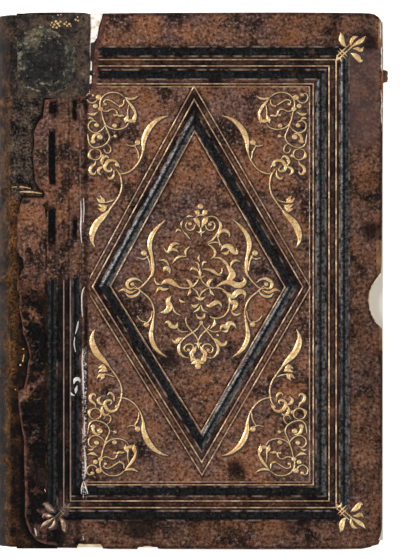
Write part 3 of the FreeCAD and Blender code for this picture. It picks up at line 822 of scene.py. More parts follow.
# Painted highlights: pale strokes that stand for glints of light on the crease and on small bumps of the old
# leather
CREASE_GLINTS = (
    leaf(0.8, (80.8, 201), (81.2, 214), (80.6, 228), (81.6, 243)),
    leaf(0.5, (83.6, 198), (84, 210), (83.4, 222)),
    leaf(0.65, (84.6, 287), (82.6, 291), (81.8, 304), (82.4, 317)),
    leaf(0.9, (78.4, 321), (77.4, 327), (75.4, 334)),
    leaf(0.65, (74.8, 337), (74.2, 344), (75.6, 352)),
    leaf(0.8, (82.8, 350), (82.2, 362), (83, 374), (83.4, 390), (84, 399)),
    leaf(0.7, (84.2, 416), (84.4, 428), (84, 437)),
    leaf(0.9, (84.2, 446), (85.2, 458), (85.4, 470), (84.4, 477)),
    leaf(0.7, (81.4, 494), (81.8, 487), (83.6, 481)),
    leaf(0.8, (84, 481), (86, 488), (88, 494)),
    leaf(0.7, (83, 536), (83.4, 540)),
    leaf(2.1, (73.8, 384), (75.4, 379.6), (78.6, 379.2), (80.2, 382.4)),
    leaf(1.5, (77.2, 385.6), (76, 390), (75.6, 393.4)),
    leaf(1.2, (74.6, 395.4), (71.6, 394.4), (70.2, 391.4)),
    leaf(1.0, (34.6, 528), (35.8, 532), (36.6, 536)),
    leaf(0.8, (44.6, 489), (45.6, 492)),
)
PATCH_FLECKS = tuple(
    ball(x, y, half) for x, y, half in (
        (52, 22.6, 1), (54.4, 24.6, 1.2), (56, 21.4, 1.3), (58, 23.6, 1.4), (60.4, 21.6, 1), (53, 27, 0.9),
        (56.6, 27.6, 1.1), (59.4, 26, 0.9), (50.6, 25, 0.7), (64.6, 23.8, 1.2), (67, 25.6, 1),
        (69.6, 24, 1.2),
        (66.4, 22, 0.7), (71, 26, 0.7), (58, 15, 0.8), (61, 14.4, 0.7), (75.6, 19.6, 1.1), (78, 20.6, 0.9),
        (77.6, 17, 0.8))
)
JOINT_FLECKS = (
    ball(23.4, 349, 0.8),
    ball(20.4, 365, 0.9),
    ball(15.4, 389.6, 0.8),
    leaf(0.8, (11.6, 187.2), (20, 186.6), (30.6, 188.4)),
    leaf(1.0, (17, 191.8), (29, 191.8), (42, 193.4)),
    leaf(0.8, (24, 355), (22.6, 362)),
)


def mirrored(strokes, across=None, along=None):
    """Copy strokes over a middle column or row, given as the sum of a pixel and its copy."""
    copies = []
    for stroke in strokes:
        copies.append([
            (across - x if across else x, along - y if along else y, half) for x, y, half in stroke
        ])
    return copies


def four_ways(strokes, across, along):
    copies = list(strokes)
    for to_left, to_foot in ((across, None), (None, along), (across, along)):
        copies += mirrored(strokes, to_left, to_foot)
    return copies


def slid(strokes, across, along):
    return [[(x + across, y + along, half) for x, y, half in stroke] for stroke in strokes]


def seated_strokes(name, strokes, height, surface, spread=0.0):
    """Make strokes as low domes that lie on a surface."""
    data = bpy.data.curves.new(name, "CURVE")
    data.dimensions = "3D"
    data.bevel_depth = sizes().photo_pixel
    data.bevel_resolution = 1
    data.resolution_u = 4
    data.use_fill_caps = True
    for stroke in strokes:
        spline = data.splines.new("BEZIER")
        spline.bezier_points.add(len(stroke) - 1)
        for point, (px, py, half) in zip(spline.bezier_points, stroke):
            point.co = (*spot(px, py), 0)
            point.handle_left_type = "AUTO"
            point.handle_right_type = "AUTO"
            point.radius = half + spread
    curve = bpy.data.objects.new(name, data)
    bpy.context.scene.collection.objects.link(curve)
    pick(curve)
    bpy.ops.object.convert(target="MESH")
    obj = named(name)
    x, y, dome = points_of(obj).T
    set_points(obj, x, y, surface(x, y) + height * np.tanh(dome * 0.6 / height))
    return obj


def lay_on_front(name, strokes, height, below, slot, material, spread=0.0):
    """Lay strokes on a surface of the front cover, which they move with."""
    laid = seated_strokes(name, strokes, height, below, spread)
    finish(laid, FRONT, slot, material, angle=60)


def frame_strip(name, corners, half_width, height):
    """Make a thin raised strip along a closed outline, with mitred corners."""
    ring = np.array(corners)
    parts = []
    for start, end in zip(ring, np.roll(ring, -1, axis=0)):
        length = np.hypot(*(end - start))

        def place(u, v, start=start, end=end):
            reach = (u - 0.5) * 2 * half_width
            first = start[:, None] + mitre(ring, start)[:, None] * reach
            second = end[:, None] + mitre(ring, end)[:, None] * reach
            x, y = between(first, second, v)
            lift = height * (1 - (2 * u - 1) ** 2) - 0.06 * MM
            return x, y, leather_relief(x, y) + lift

        parts.append(sheet(name, 4, max(8, int(length / (1.1 * MM))), place))
    strip = join(name, parts)
    recalculate(strip)
    return strip


def mitre(ring, corner):
    """How far a ring's corner moves for each unit that its sides move inwards."""
    index = int(np.argmin(np.hypot(*(ring - corner).T)))
    before = ring[index - 1]
    after = ring[(index + 1) % len(ring)]
    middle = ring.mean(axis=0)
    normals = [inwards(before, corner, middle), inwards(corner, after, middle)]
    return np.linalg.solve(np.array(normals), [1, 1])


def inside_outline(x, y, outline):
    """Tell which places lie inside an outline in metres."""
    inside = np.zeros(len(x), dtype=bool)
    corners = np.array(outline)
    for (ax, ay), (bx, by) in zip(corners, np.roll(corners, -1, axis=0)):
        crosses = (ay > y) != (by > y)
        with np.errstate(divide="ignore", invalid="ignore"):
            inside ^= crosses & (x < (bx - ax) * (y - ay) / (by - ay) + ax)
    return inside


def trim(obj, keep):
    """Delete every face that has a corner whose keep value is false."""
    pick(obj)
    set_mode("EDIT")
    bpy.ops.mesh.select_mode(type="FACE")
    set_mode("OBJECT")
    for polygon in obj.data.polygons:
        polygon.select = not all(keep[index] for index in polygon.vertices)
    set_mode("EDIT")
    bpy.ops.mesh.delete(type="FACE")
    set_mode("OBJECT")


def frame_corners(edges):
    left, top, right, bottom = edges
    return spots(((left, top), (right, top), (right, bottom), (left, bottom)))


# Building materials


def fill(tree, made, values):
    """Set a node's inputs, or link them where the value is another node's output."""
    for key, value in values.items():
        if isinstance(value, bpy.types.NodeSocket):
            tree.links.new(value, made.inputs[key])
        else:
            made.inputs[key].default_value = value


def node(tree, kind, values=None, **settings):
    """Add a node, set its settings and fill its inputs."""
    made = tree.nodes.new(kind)
    for key, value in settings.items():
        setattr(made, key, value)
    fill(tree, made, values or {})
    return made


def maths(tree, operation, first, second=0.0):
    return node(tree, "ShaderNodeMath", {0: first, 1: second}, operation=operation).outputs[0]


def combined(tree, operation, first, *others):
    """Put any number of values together with one operation, from left to right."""
    for other in others:
        first = maths(tree, operation, first, other)
    return first


def times(tree, *masks):
    return combined(tree, "MULTIPLY", *masks)


def inverse(tree, mask):
    return maths(tree, "SUBTRACT", 1.0, mask)


def apart(tree, first, second):
    """How far two values are from each other."""
    return maths(tree, "ABSOLUTE", maths(tree, "SUBTRACT", first, second))


def vectors(tree, operation, first, second=(0, 0, 0), result="Vector"):
    return node(tree, "ShaderNodeVectorMath", {0: first, 1: second}, operation=operation).outputs[result]


def away_from(tree, place, px, py, level=BOOK_TOP):
    """Distance from the place of a photograph's pixel at a level of the book."""
    return vectors(tree, "DISTANCE", place, (*spot(px, py), level), "Value")


def parts_of(tree, vector):
    return node(tree, "ShaderNodeSeparateXYZ", {0: vector}).outputs


def stored(tree, name):
    """Read a value that a mesh keeps for each of its points."""
    return node(tree, "ShaderNodeAttribute", attribute_name=name).outputs["Fac"]


def mixed(tree, share, first, second):
    return node(tree, "ShaderNodeMix", {"Factor": share, 6: first, 7: second}, data_type="RGBA").outputs[2]


def ranged(tree, value, low, high, to_low=0.0, to_high=1.0):
    values = {"Value": value, "From Min": low, "From Max": high, "To Min": to_low, "To Max": to_high}
    return node(tree, "ShaderNodeMapRange", values).outputs["Result"]


def noise(tree, place, scale, detail=3.0, rough=0.55, stretch=None, shift=0.0):
    """Give noise from 0 to 1, with features about a metre over scale in size."""
    if stretch or shift:
        away = (shift, shift * 0.7, shift * 0.3)
        values = {"Vector": place, "Scale": stretch or (1, 1, 1), "Location": away}
        place = node(tree, "ShaderNodeMapping", values).outputs["Vector"]
    values = {"Vector": place, "Scale": scale, "Detail": detail, "Roughness": rough}
    return node(tree, "ShaderNodeTexNoise", values).outputs["Fac"]


def group(name, inputs, outputs, build):
    """Make a shader group once; build fills it and yields its outputs in order."""
    if name in bpy.data.node_groups:
        return bpy.data.node_groups[name]
    tree = bpy.data.node_groups.new(name, "ShaderNodeTree")
    for label, (kind, default) in inputs.items():
        socket = tree.interface.new_socket(label, in_out="INPUT", socket_type=kind)
        if default is not None:
            socket.default_value = default
    for label, kind in outputs.items():
        tree.interface.new_socket(label, in_out="OUTPUT", socket_type=kind)
    inside = node(tree, "NodeGroupInput")
    result = node(tree, "NodeGroupOutput")
    for index, socket in enumerate(build(tree, inside.outputs)):
        tree.links.new(socket, result.inputs[index])
    return tree


def use(tree, made_group, values):
    return node(tree, "ShaderNodeGroup", values, node_tree=made_group).outputs


NUMBER = "NodeSocketFloat"
VECTOR = "NodeSocketVector"


def leather_grain(tree, place, scale):
    """Height of fine leather grain: small cells with soft creases between them."""
    def build(tree, given):
        cells = node(tree, "ShaderNodeTexVoronoi", {"Vector": given["Place"], "Scale": given["Scale"]},
                     feature="DISTANCE_TO_EDGE").outputs["Distance"]
        pebble = times(tree, ranged(tree, cells, 0.0, 0.22), 0.5)
        fine = times(tree, noise(tree, given["Place"], 2600, 4, 0.65), 0.4)
        folds = times(tree, noise(tree, given["Place"], 260, 4, 0.6), 0.8)
        yield combined(tree, "ADD", pebble, fine, folds)
    made_group = group("Leather grain", {"Place": (VECTOR, None), "Scale": (NUMBER, 1500.0)},
                       {"Height": NUMBER}, build)
    return use(tree, made_group, {"Place": place, "Scale": scale})["Height"]


def blotches(tree, place, scale, amount):
    """Patches with broken edges, covering about the share that the amount asks for."""
    def build(tree, given):
        values = {"Vector": given["Place"], "Scale": given["Scale"], "Detail": 6.0, "Roughness": 0.68,
                  "Distortion": 0.4}
        coarse = node(tree, "ShaderNodeTexNoise", values).outputs["Fac"]
        edge = maths(tree, "SUBTRACT", 0.78, times(tree, given["Amount"], 0.55))
        values = {"Value": coarse, "From Min": maths(tree, "SUBTRACT", edge, 0.05),
                  "From Max": maths(tree, "ADD", edge, 0.07)}
        yield node(tree, "ShaderNodeMapRange", values, interpolation_type="SMOOTHSTEP").outputs["Result"]
    inputs = {"Place": (VECTOR, None), "Scale": (NUMBER, 60.0), "Amount": (NUMBER, 0.4)}
    values = {"Place": place, "Scale": scale, "Amount": amount}
    return use(tree, group("Blotches", inputs, {"Mask": NUMBER}, build), values)["Mask"]


def scratches(tree, place, turn):
    """Fine scratches and rubbed streaks that run along one direction."""
    def build(tree, given):
        values = {"Vector": given["Place"], "Rotation": given["Turn"], "Scale": (0.12, 1.0, 1.0)}
        turned = node(tree, "ShaderNodeMapping", values).outputs["Vector"]
        line = ranged(tree, noise(tree, turned, 620, 3, 0.5), 0.6, 0.7)
        yield times(tree, line, ranged(tree, noise(tree, given["Place"], 38, 3, 0.6), 0.45, 0.62))
    inputs = {"Place": (VECTOR, None), "Turn": (VECTOR, None)}
    made_group = group("Scratches", inputs, {"Mask": NUMBER}, build)
    return use(tree, made_group, {"Place": place, "Turn": turn})["Mask"]


def frame_band(tree, place, edges):
    """How far outside a rectangle a place is, and its distance from the rectangle's outline, in metres."""
    def build(tree, given):
        size = vectors(tree, "ABSOLUTE", vectors(tree, "SUBTRACT", given["Place"], given["Middle"]))
        parts = parts_of(tree, vectors(tree, "SUBTRACT", size, given["Half size"]))
        outside = maths(tree, "MAXIMUM", parts["X"], parts["Y"])
        yield outside
        yield maths(tree, "ABSOLUTE", outside)
    made_group = group(
        "Frame band", {"Place": (VECTOR, None), "Middle": (VECTOR, None), "Half size": (VECTOR, None)},
        {"Outside": NUMBER, "Distance": NUMBER}, build)
    left, top = spot(edges[0], edges[1])
    right, bottom = spot(edges[2], edges[3])
    return use(tree, made_group, {"Place": place, "Middle": ((left + right) / 2, (top + bottom) / 2, 0),
                                  "Half size": ((right - left) / 2, (top - bottom) / 2, 1)})


def new_material(name):
    """Start a material and give its node tree, its shader and the place in the object's own metres."""
    material = bpy.data.materials.new(name)
    FINISHES[name] = material
    material.use_nodes = True
    tree = material.node_tree
    tree.nodes.clear()
    shader = node(tree, "ShaderNodeBsdfPrincipled")
    node(tree, "ShaderNodeOutputMaterial", {"Surface": shader.outputs["BSDF"]})
    return tree, shader, node(tree, "ShaderNodeTexCoord").outputs["Object"]


def surface(tree, shader, colour, rough, height=None, depth=0.0, **others):
    """Give a material its colour, roughness and bump, and any other inputs of its shader by name."""
    values = {"Base Color": colour, "Roughness": rough}
    if height is not None:
        bump = node(tree, "ShaderNodeBump", {"Height": height, "Distance": depth, "Strength": 1.0})
        values["Normal"] = bump.outputs["Normal"]
    for key, value in others.items():
        values[key.replace("_", " ")] = value
    fill(tree, shader, values)


def lozenge_node(tree, place):
    """Depth inside the lozenge, in metres, below zero outside it."""
    depths = []
    for across, along, reach in lozenge_sides():
        side = vectors(tree, "DOT_PRODUCT", place, (across, along, 0), "Value")
        depths.append(maths(tree, "ADD", side, reach))
    return combined(tree, "MINIMUM", *depths)


def shaded(tree, mask, amount, colour, other):
    """Mix in another colour where a mask is 1, by an amount."""
    return mixed(tree, times(tree, mask, amount), colour, other)


def darkened(tree, mask, amount, colour):
    return shaded(tree, mask, amount, colour, colours().leather_black)


def line_distances(tree, place):
    """Distances to the lines and to the black bands, depth in the lozenge and reach beyond both bands."""
    pixel = sizes().photo_pixel
    depth = lozenge_node(tree, place)
    lines = [apart(tree, depth, inset * pixel) for inset in LOZENGE_LINE_INSETS]
    lines += [frame_band(tree, place, edges)["Distance"] for edges in (FILLET_1, FILLET_2, FILLET_3)]
    outer = frame_band(tree, place, OUTER_BAND)
    inner = frame_band(tree, place, INNER_BAND)
    in_lozenge = apart(tree, depth, LOZENGE_BAND_INSET * pixel)
    bands = combined(tree, "MINIMUM", outer["Distance"], inner["Distance"], in_lozenge)
    return combined(tree, "MINIMUM", *lines), bands, depth, outer["Outside"], inner["Outside"]


def window(tree, value, low, high, soft):
    """A mask that is 1 between two values and fades over a soft width."""
    away = apart(tree, value, (low + high) / 2)
    half = abs(high - low) / 2
    return ranged(tree, away, half + soft, half)


def broken(tree, place, value, scale, reach):
    """Move a distance about by noise, so that the edge drawn from it is ragged."""
    shift = maths(tree, "SUBTRACT", noise(tree, place, scale, 4, 0.65), 0.5)
    return maths(tree, "ADD", value, times(tree, shift, reach))


def patches(tree, place, places, soft):
    """A mask with ragged edges around some places on the cover."""
    pixel = sizes().photo_pixel
    shift = times(tree, maths(tree, "SUBTRACT", noise(tree, place, 120, 5, 0.68), 0.5), 30 * pixel)
    masks = []
    for px, py, reach in places:
        away = maths(tree, "ADD", away_from(tree, place, px, py), shift)
        masks.append(ranged(tree, away, reach * pixel, (reach - soft) * pixel))
    return combined(tree, "MAXIMUM", *masks)


def edge_x_of(tree, place, parts):
    return broken(tree, place, parts["X"], 260, 4 * sizes().photo_pixel)


def edge_part(tree, place, value):
    return broken(tree, place, value, 130, 14 * sizes().photo_pixel)


def old_leather_material():
    """Worn dark calf: brown mottled with near black, black painted bands, pale rubs and red torn edges."""
    tree, shader, place = new_material("old_leather")
    tone = colours()
    pixel = sizes().photo_pixel
    parts = parts_of(tree, place)
    grain = leather_grain(tree, place, 1450.0)
    broad = noise(tree, place, 26, 4, 0.6)
    mottle = noise(tree, place, 140, 5, 0.68)
    fine = noise(tree, place, 750, 4, 0.7)
    colour = mixed(tree, ranged(tree, mottle, 0.34, 0.62), tone.leather_dark, tone.leather_brown)
    colour = mixed(tree, ranged(tree, broad, 0.46, 0.66, 0, 0.8), colour, tone.leather_red)
    dull = noise(tree, place, 34, 4, 0.6, shift=0.37)
    colour = mixed(tree, ranged(tree, dull, 0.48, 0.64, 0, 0.6), colour, tone.leather_dull)
    dark = blotches(tree, place, 64.0, 0.42)
    colour = darkened(tree, dark, 0.8, colour)
    colour = shaded(tree, patches(tree, place, WARM_LIGHTS, 10), 0.6, colour, tone.leather_red)
    colour = darkened(tree, ranged(tree, fine, 0.49, 0.37), 0.88, colour)
    colour = shaded(tree, ranged(tree, fine, 0.54, 0.68), 0.55, colour, tone.leather_pale)
    for turn in ((0, 0, 0.5), (0, 0, 1.9)):
        rub = scratches(tree, place, turn)
        colour = shaded(tree, rub, 0.16, colour, tone.leather_pale)

    # Painted bands and the dirt beside the ruled lines, nearly gone in the rubbed part
    lines, bands, depth, outer, inner = line_distances(tree, place)
    rubbed_x, rubbed_y = spot(RUBBED_PX, RUBBED_PY)
    rubbed_part = times(tree, ranged(tree, parts["X"], rubbed_x + 2 * pixel, rubbed_x - 2 * pixel),
                        ranged(tree, parts["Y"], rubbed_y - 2 * pixel, rubbed_y + 2 * pixel))
    ragged_y = broken(tree, place, parts["Y"], 170, 22 * pixel)
    ragged_x = broken(tree, place, parts["X"], 240, 4 * pixel)
    bars = []
    for px, half, top, foot in PAINT_BARS:
        bars.append(times(tree, window(tree, ragged_y, y_of(foot), y_of(top), 5 * pixel),
                          window(tree, ragged_x, x_of(px - half), x_of(px + half), 1.5 * pixel)))
    bare = inverse(tree, combined(tree, "MAXIMUM", *bars))
    kept = inverse(tree, times(tree, rubbed_part, bare))
    kept_lines = inverse(tree, times(tree, rubbed_part, 0.8))
    patchy = ranged(tree, noise(tree, place, 110, 4, 0.6), 0.3, 0.62, 0.35, 1)
    dirt = ranged(tree, broken(tree, place, lines, 900, 2.2 * pixel), 3.2 * pixel, 1.2 * pixel)
    colour = darkened(tree, times(tree, dirt, patchy, kept_lines), 0.97, colour)
    between_bands = times(tree, ranged(tree, outer, 2 * pixel, 0), ranged(tree, inner, -pixel, pixel))
    in_strap = times(tree, ranged(tree, depth, 5 * pixel, 7 * pixel),
                     ranged(tree, depth, 23 * pixel, 21 * pixel))
    straps = maths(tree, "MAXIMUM", between_bands, in_strap)
    colour = darkened(tree, times(tree, straps, patchy, kept_lines), 0.8, colour)
    band = ranged(tree, broken(tree, place, bands, 600, 2.6 * pixel), 5.2 * pixel, 3.6 * pixel)
    band = times(tree, band, kept)
    around = ranged(tree, broken(tree, place, bands, 300, 5 * pixel), 9 * pixel, 4.5 * pixel)
    colour = darkened(tree, times(tree, around, patchy, kept), 0.85, colour)
    worn_paint = blotches(tree, place, 150.0, 0.24)
    # Pale specks in the black paint: partly worn paint and dust, partly painted highlights standing for
    # sparkle of light
    worn_specks_and_painted_sparkle = ranged(tree, noise(tree, place, 1000, 3, 0.7), 0.62, 0.74)
    painted = shaded(tree, worn_specks_and_painted_sparkle, 0.3, tone.band_black, tone.leather_pale)
    painted = shaded(tree, worn_paint, 0.3, painted, tone.leather_brown)
    colour = mixed(tree, band, colour, painted)
    # Pale rims along the bands: rubbed leather, and painted highlights standing for light caught on their
    # edges
    rim = window(tree, bands, 4.3 * pixel, 5.2 * pixel, 0.6 * pixel)
    rim_wear_and_painted_highlight = ranged(tree, noise(tree, place, 240, 3), 0.44, 0.62)
    colour = shaded(tree, times(tree, rim, rim_wear_and_painted_highlight, kept_lines), 0.5, colour, tone.leather_pale)

    # Shade of the margins, and a painted sheen near the fore-edge: dull grey that stands for light reflected
    # there
    margin = ranged(tree, outer, 2 * pixel, 9 * pixel)
    to_right = ranged(tree, parts["X"], x_of(250), x_of(360))
    to_foot = ranged(tree, parts["Y"], y_of(400), y_of(520))
    shade = times(tree, margin, maths(tree, "MAXIMUM", to_right, to_foot),
                  ranged(tree, mottle, 0.3, 0.6, 1, 0.5))
    colour = darkened(tree, shade, 0.45, colour)
    # Painted sheen: dull grey over the upper fore-edge margin, for light reflected there
    painted_sheen = times(tree, window(tree, edge_part(tree, place, parts["X"]), x_of(352), x_of(376), 5 * pixel),
                 window(tree, edge_part(tree, place, parts["Y"]), y_of(140), y_of(50), 9 * pixel))
    colour = shaded(tree, painted_sheen, 0.5, colour, tone.leather_dull)

    # Blackened leather beside the joint, stains, and painted highlights speckled along the crease
    left = ranged(tree, broken(tree, place, parts["X"], 160, 14 * pixel), x_of(82), x_of(58))
    soaked = ranged(tree, noise(tree, place, 75, 5, 0.66), 0.4, 0.48)
    low = ranged(tree, broken(tree, place, parts["Y"], 120, 30 * pixel), y_of(270), y_of(300))
    left = times(tree, left, soaked, low)
    colour = shaded(tree, left, 0.97, colour, tone.band_black)
    colour = darkened(tree, patches(tree, place, STAINS, 9), 0.85, colour)
    beside_crease = window(tree, broken(tree, place, parts["X"], 90, 5 * pixel), x_of(76), x_of(81), pixel)
    colour = shaded(tree, times(tree, beside_crease, low, patchy), 0.8, colour, tone.band_black)
    # Painted highlight: white specks in a strip along the crease stand for glints of light there
    painted_glint_speckle = times(tree, window(tree, edge_x_of(tree, place, parts), x_of(82.6), x_of(86), 0.6 * pixel),
                    window(tree, parts["Y"], y_of(497), y_of(352), 6 * pixel),
                    ranged(tree, noise(tree, place, 1100, 3, 0.7), 0.5, 0.62))
    colour = shaded(tree, painted_glint_speckle, 0.8, colour, tone.glint)

    # Torn and rubbed edges
    torn = stored(tree, "torn")
    torn_edge = broken(tree, place, torn, 420, 0.9)
    flesh = mixed(tree, ranged(tree, noise(tree, place, 500, 4), 0.35, 0.65), tone.flesh, tone.flesh_dark)
    torn_part = times(tree, ranged(tree, torn_edge, 0.35, 0.7), ranged(tree, torn, 0.02, 0.2))
    colour = mixed(tree, torn_part, colour, flesh)
    rubbed = stored(tree, "rubbed")
    dark_rim = ranged(tree, broken(tree, place, rubbed, 200, 0.5), 0.15, 0.5)
    colour = darkened(tree, dark_rim, 0.55, colour)
    rub_edge = broken(tree, place, rubbed, 300, 1.1)
    colour = mixed(tree, ranged(tree, rub_edge, 0.6, 1.1, 0, 0.8), colour, tone.rubbed)
    edge_x = edge_x_of(tree, place, parts)
    edge_y = broken(tree, place, parts["Y"], 200, 12 * pixel)
    # Pale strips are bare paper and also a painted highlight along the edge; the others are rubbed leather
    for left_px, right_px, top, foot, amount, pale in FORE_EDGE_WEAR:
        strip = times(tree, window(tree, edge_x, x_of(left_px), x_of(right_px), 0.5 * pixel),
                      window(tree, edge_y, y_of(foot), y_of(top), 3 * pixel),
                      ranged(tree, mottle, 0.38, 0.56, 0.35, 1))
        colour = shaded(tree, strip, amount, colour, tone.torn_paper if pale else tone.rubbed)

    # Relief of the tooling and the gloss of paint and polish
    rough = ranged(tree, mottle, 0.3, 0.7, 0.5, 0.34)
    grooves = times(tree, window(tree, bands, 5.2 * pixel, 5.7 * pixel, 1.2 * pixel), -1.2)
    beside = times(tree, ranged(tree, lines, 2.6 * pixel, 1.2 * pixel), -0.8)
    height = maths(tree, "ADD", grain, maths(tree, "ADD", grooves, beside))
    beyond_crease = ranged(tree, parts["X"], x_of(80), x_of(92), 0.3, 1)
    glossy = times(tree, band, kept_lines, beyond_crease, ranged(tree, fine, 0.42, 0.58, 0.12, 0.85))
    gloss_and_painted_glint = maths(tree, "MAXIMUM", glossy, times(tree, left, ranged(tree, fine, 0.52, 0.68, 0, 0.5)))
    surface(tree, shader, colour, rough, height, 0.22 * MM,
            Coat_Weight=gloss_and_painted_glint, Coat_Roughness=0.25, Specular_IOR_Level=0.06)


def patch_material():
    """Scuffed grey-brown leather, rubbed in a ring."""
    tree, shader, place = new_material("patch_leather")
    tone = colours()
    grain = leather_grain(tree, place, 1200.0)
    mottle = noise(tree, place, 190, 5, 0.68)
    fine = noise(tree, place, 700, 4, 0.7)
    colour = mixed(tree, ranged(tree, mottle, 0.38, 0.64), tone.patch_dark, tone.patch_brown)
    middle_x, middle_y = spot(45.5, 60)
    wobble = times(tree, maths(tree, "SUBTRACT", noise(tree, place, 90, 4, 0.7), 0.5), 12 * MM)
    reach = maths(tree, "ADD", away_from(tree, place, 45.5, 60), wobble)
    blot = ranged(tree, reach, 15 * MM, 12.5 * MM)
    worn = mixed(tree, ranged(tree, mottle, 0.38, 0.62), tone.patch_dark, tone.patch_grey)
    colour = mixed(tree, blot, colour, worn)
    rings = [ranged(tree, apart(tree, reach, radius * MM), 0.9 * MM, 0.2 * MM) for radius in (14.2, 10.5)]
    rings = combined(tree, "MAXIMUM", *rings)
    scuff = ranged(tree, noise(tree, place, 330, 4, 0.7), 0.48, 0.62)
    colour = shaded(tree, times(tree, rings, scuff), 0.75, colour, tone.patch_scuff)
    from_olive = broken(tree, place, away_from(tree, place, 35, 38), 200, 7 * MM)
    olive = ranged(tree, from_olive, 4.6 * MM, 2.6 * MM)
    colour = shaded(tree, olive, 0.75, colour, tone.patch_olive)
    parts = parts_of(tree, place)
    upper_left = maths(tree, "SUBTRACT", parts["Y"], parts["X"])
    upper_left = ranged(tree, upper_left, middle_y - middle_x + 4 * MM, middle_y - middle_x + 13 * MM)
    pale = times(tree, upper_left, blot, scuff)
    colour = shaded(tree, pale, 0.55, colour, tone.patch_scuff)
    colour = darkened(tree, ranged(tree, fine, 0.5, 0.36), 0.9, colour)
    inner = ranged(tree, reach, 11.5 * MM, 8 * MM)
    colour = darkened(tree, inner, 0.55, colour)
    flecks = ranged(tree, fine, 0.6, 0.72)
    colour = shaded(tree, flecks, 0.45, colour, tone.patch_scuff)
    height = maths(tree, "ADD", grain, times(tree, rings, 1.5))
    rough = ranged(tree, mottle, 0.3, 0.7, 0.55, 0.36)
    surface(tree, shader, colour, rough, height, 0.3 * MM, Specular_IOR_Level=0.15)


def new_leather_material():
    """Golden brown leather of the repair, slate grey near the head and dark beside the torn edge, with
    painted shade in the crevices beside the torn edge and beside the raised bands.
    """
    tree, shader, place = new_material("spine_leather")
    tone = colours()
    pixel = sizes().photo_pixel
    grain = leather_grain(tree, place, 1500.0)
    mottle = noise(tree, place, 160, 5, 0.62)
    fine = noise(tree, place, 900, 4, 0.7)
    parts = parts_of(tree, place)
    colour = mixed(tree, ranged(tree, mottle, 0.4, 0.62), tone.repair_dark, tone.repair_brown)
    streaks = noise(tree, place, 210, 4, 0.6, (1, 0.3, 1))
    colour = shaded(tree, ranged(tree, streaks, 0.5, 0.36), 0.7, colour, tone.repair_olive)
    across = broken(tree, place, broken(tree, place, parts["X"], 90, 10 * pixel), 420, 9 * pixel)
    head = ranged(tree, broken(tree, place, parts["Y"], 120, 12 * pixel), y_of(204), y_of(192))
    slate = mixed(tree, ranged(tree, mottle, 0.38, 0.6), tone.leather_black, tone.repair_slate)
    slate = shaded(tree, ranged(tree, fine, 0.56, 0.7), 0.3, slate, tone.patch_scuff)
    slate_part = times(tree, head, ranged(tree, across, x_of(6), x_of(14)))
    colour = mixed(tree, slate_part, colour, slate)
    upper = ranged(tree, parts["Y"], y_of(110), y_of(70))
    upper_part = times(tree, upper, ranged(tree, mottle, 0.6, 0.4, 0.45, 1))
    colour = shaded(tree, upper_part, 0.9, colour, tone.patch_dark)
    below = inverse(tree, head)
    low_down = ranged(tree, parts["Y"], y_of(330), y_of(430), 0, 6 * pixel)
    inner_edge = maths(tree, "ADD", across, low_down)
    inner = times(tree, below, ranged(tree, inner_edge, x_of(13.5), x_of(19)),
                  ranged(tree, mottle, 0.3, 0.6, 1, 0.7))
    colour = darkened(tree, inner, 0.9, colour)
    lower = ranged(tree, parts["Y"], y_of(200), y_of(400), 0.35, 0.95)
    outer = times(tree, lower, ranged(tree, across, x_of(6.5), x_of(1.5)))
    colour = darkened(tree, outer, 0.9, colour)
    dark = blotches(tree, place, 90.0, 0.3)
    colour = darkened(tree, dark, 0.85, colour)
    colour = darkened(tree, ranged(tree, fine, 0.52, 0.42), 0.9, colour)
    # Lighter crests of the raised bands: rubbed leather, and a painted highlight
    crest_rub_and_painted_highlight = stored(tree, "crest_rub_and_painted_highlight")
    colour = shaded(tree, times(tree, crest_rub_and_painted_highlight, ranged(tree, mottle, 0.4, 0.6)), 0.45, colour, tone.rubbed)
    for px, py, reach in WORM_HOLES:
        away = away_from(tree, place, px, py, FLAP_HIGH[2])
        hole = ranged(tree, away, (reach + 0.5) * pixel, (reach - 0.4) * pixel)
        colour = mixed(tree, hole, colour, tone.band_black)
    # Painted shade: near black in the crevice beside the torn edge and beside the spine's raised bands
    painted_crevice_shade = stored(tree, "painted_crevice_shade")
    colour = shaded(tree, painted_crevice_shade, 0.95, colour, tone.band_black)
    rough = ranged(tree, mottle, 0.3, 0.7, 0.5, 0.36)
    surface(tree, shader, colour, rough, grain, 0.2 * MM, Specular_IOR_Level=0.06)


def gilt_material():
    """Gold leaf worn to brown in places, with fine darker flecks."""
    tree, shader, place = new_material("gilt")
    tone = colours()
    patchy = noise(tree, place, 420, 4, 0.6)
    gold = mixed(tree, ranged(tree, patchy, 0.35, 0.65), tone.gold_orange, tone.gold_pale)
    worn = blotches(tree, place, 330.0, 0.32)
    colour = shaded(tree, worn, 0.8, gold, tone.gold_worn)
    colour = shaded(tree, ranged(tree, noise(tree, place, 1300, 3), 0.46, 0.34), 0.7, colour, tone.gold_worn)
    bump = noise(tree, place, 1500, 3)
    metal = ranged(tree, worn, 0, 1, 0.4, 0.0)
    surface(tree, shader, colour, ranged(tree, patchy, 0.3, 0.7, 0.42, 0.3), bump, 0.1 * MM, Metallic=metal)


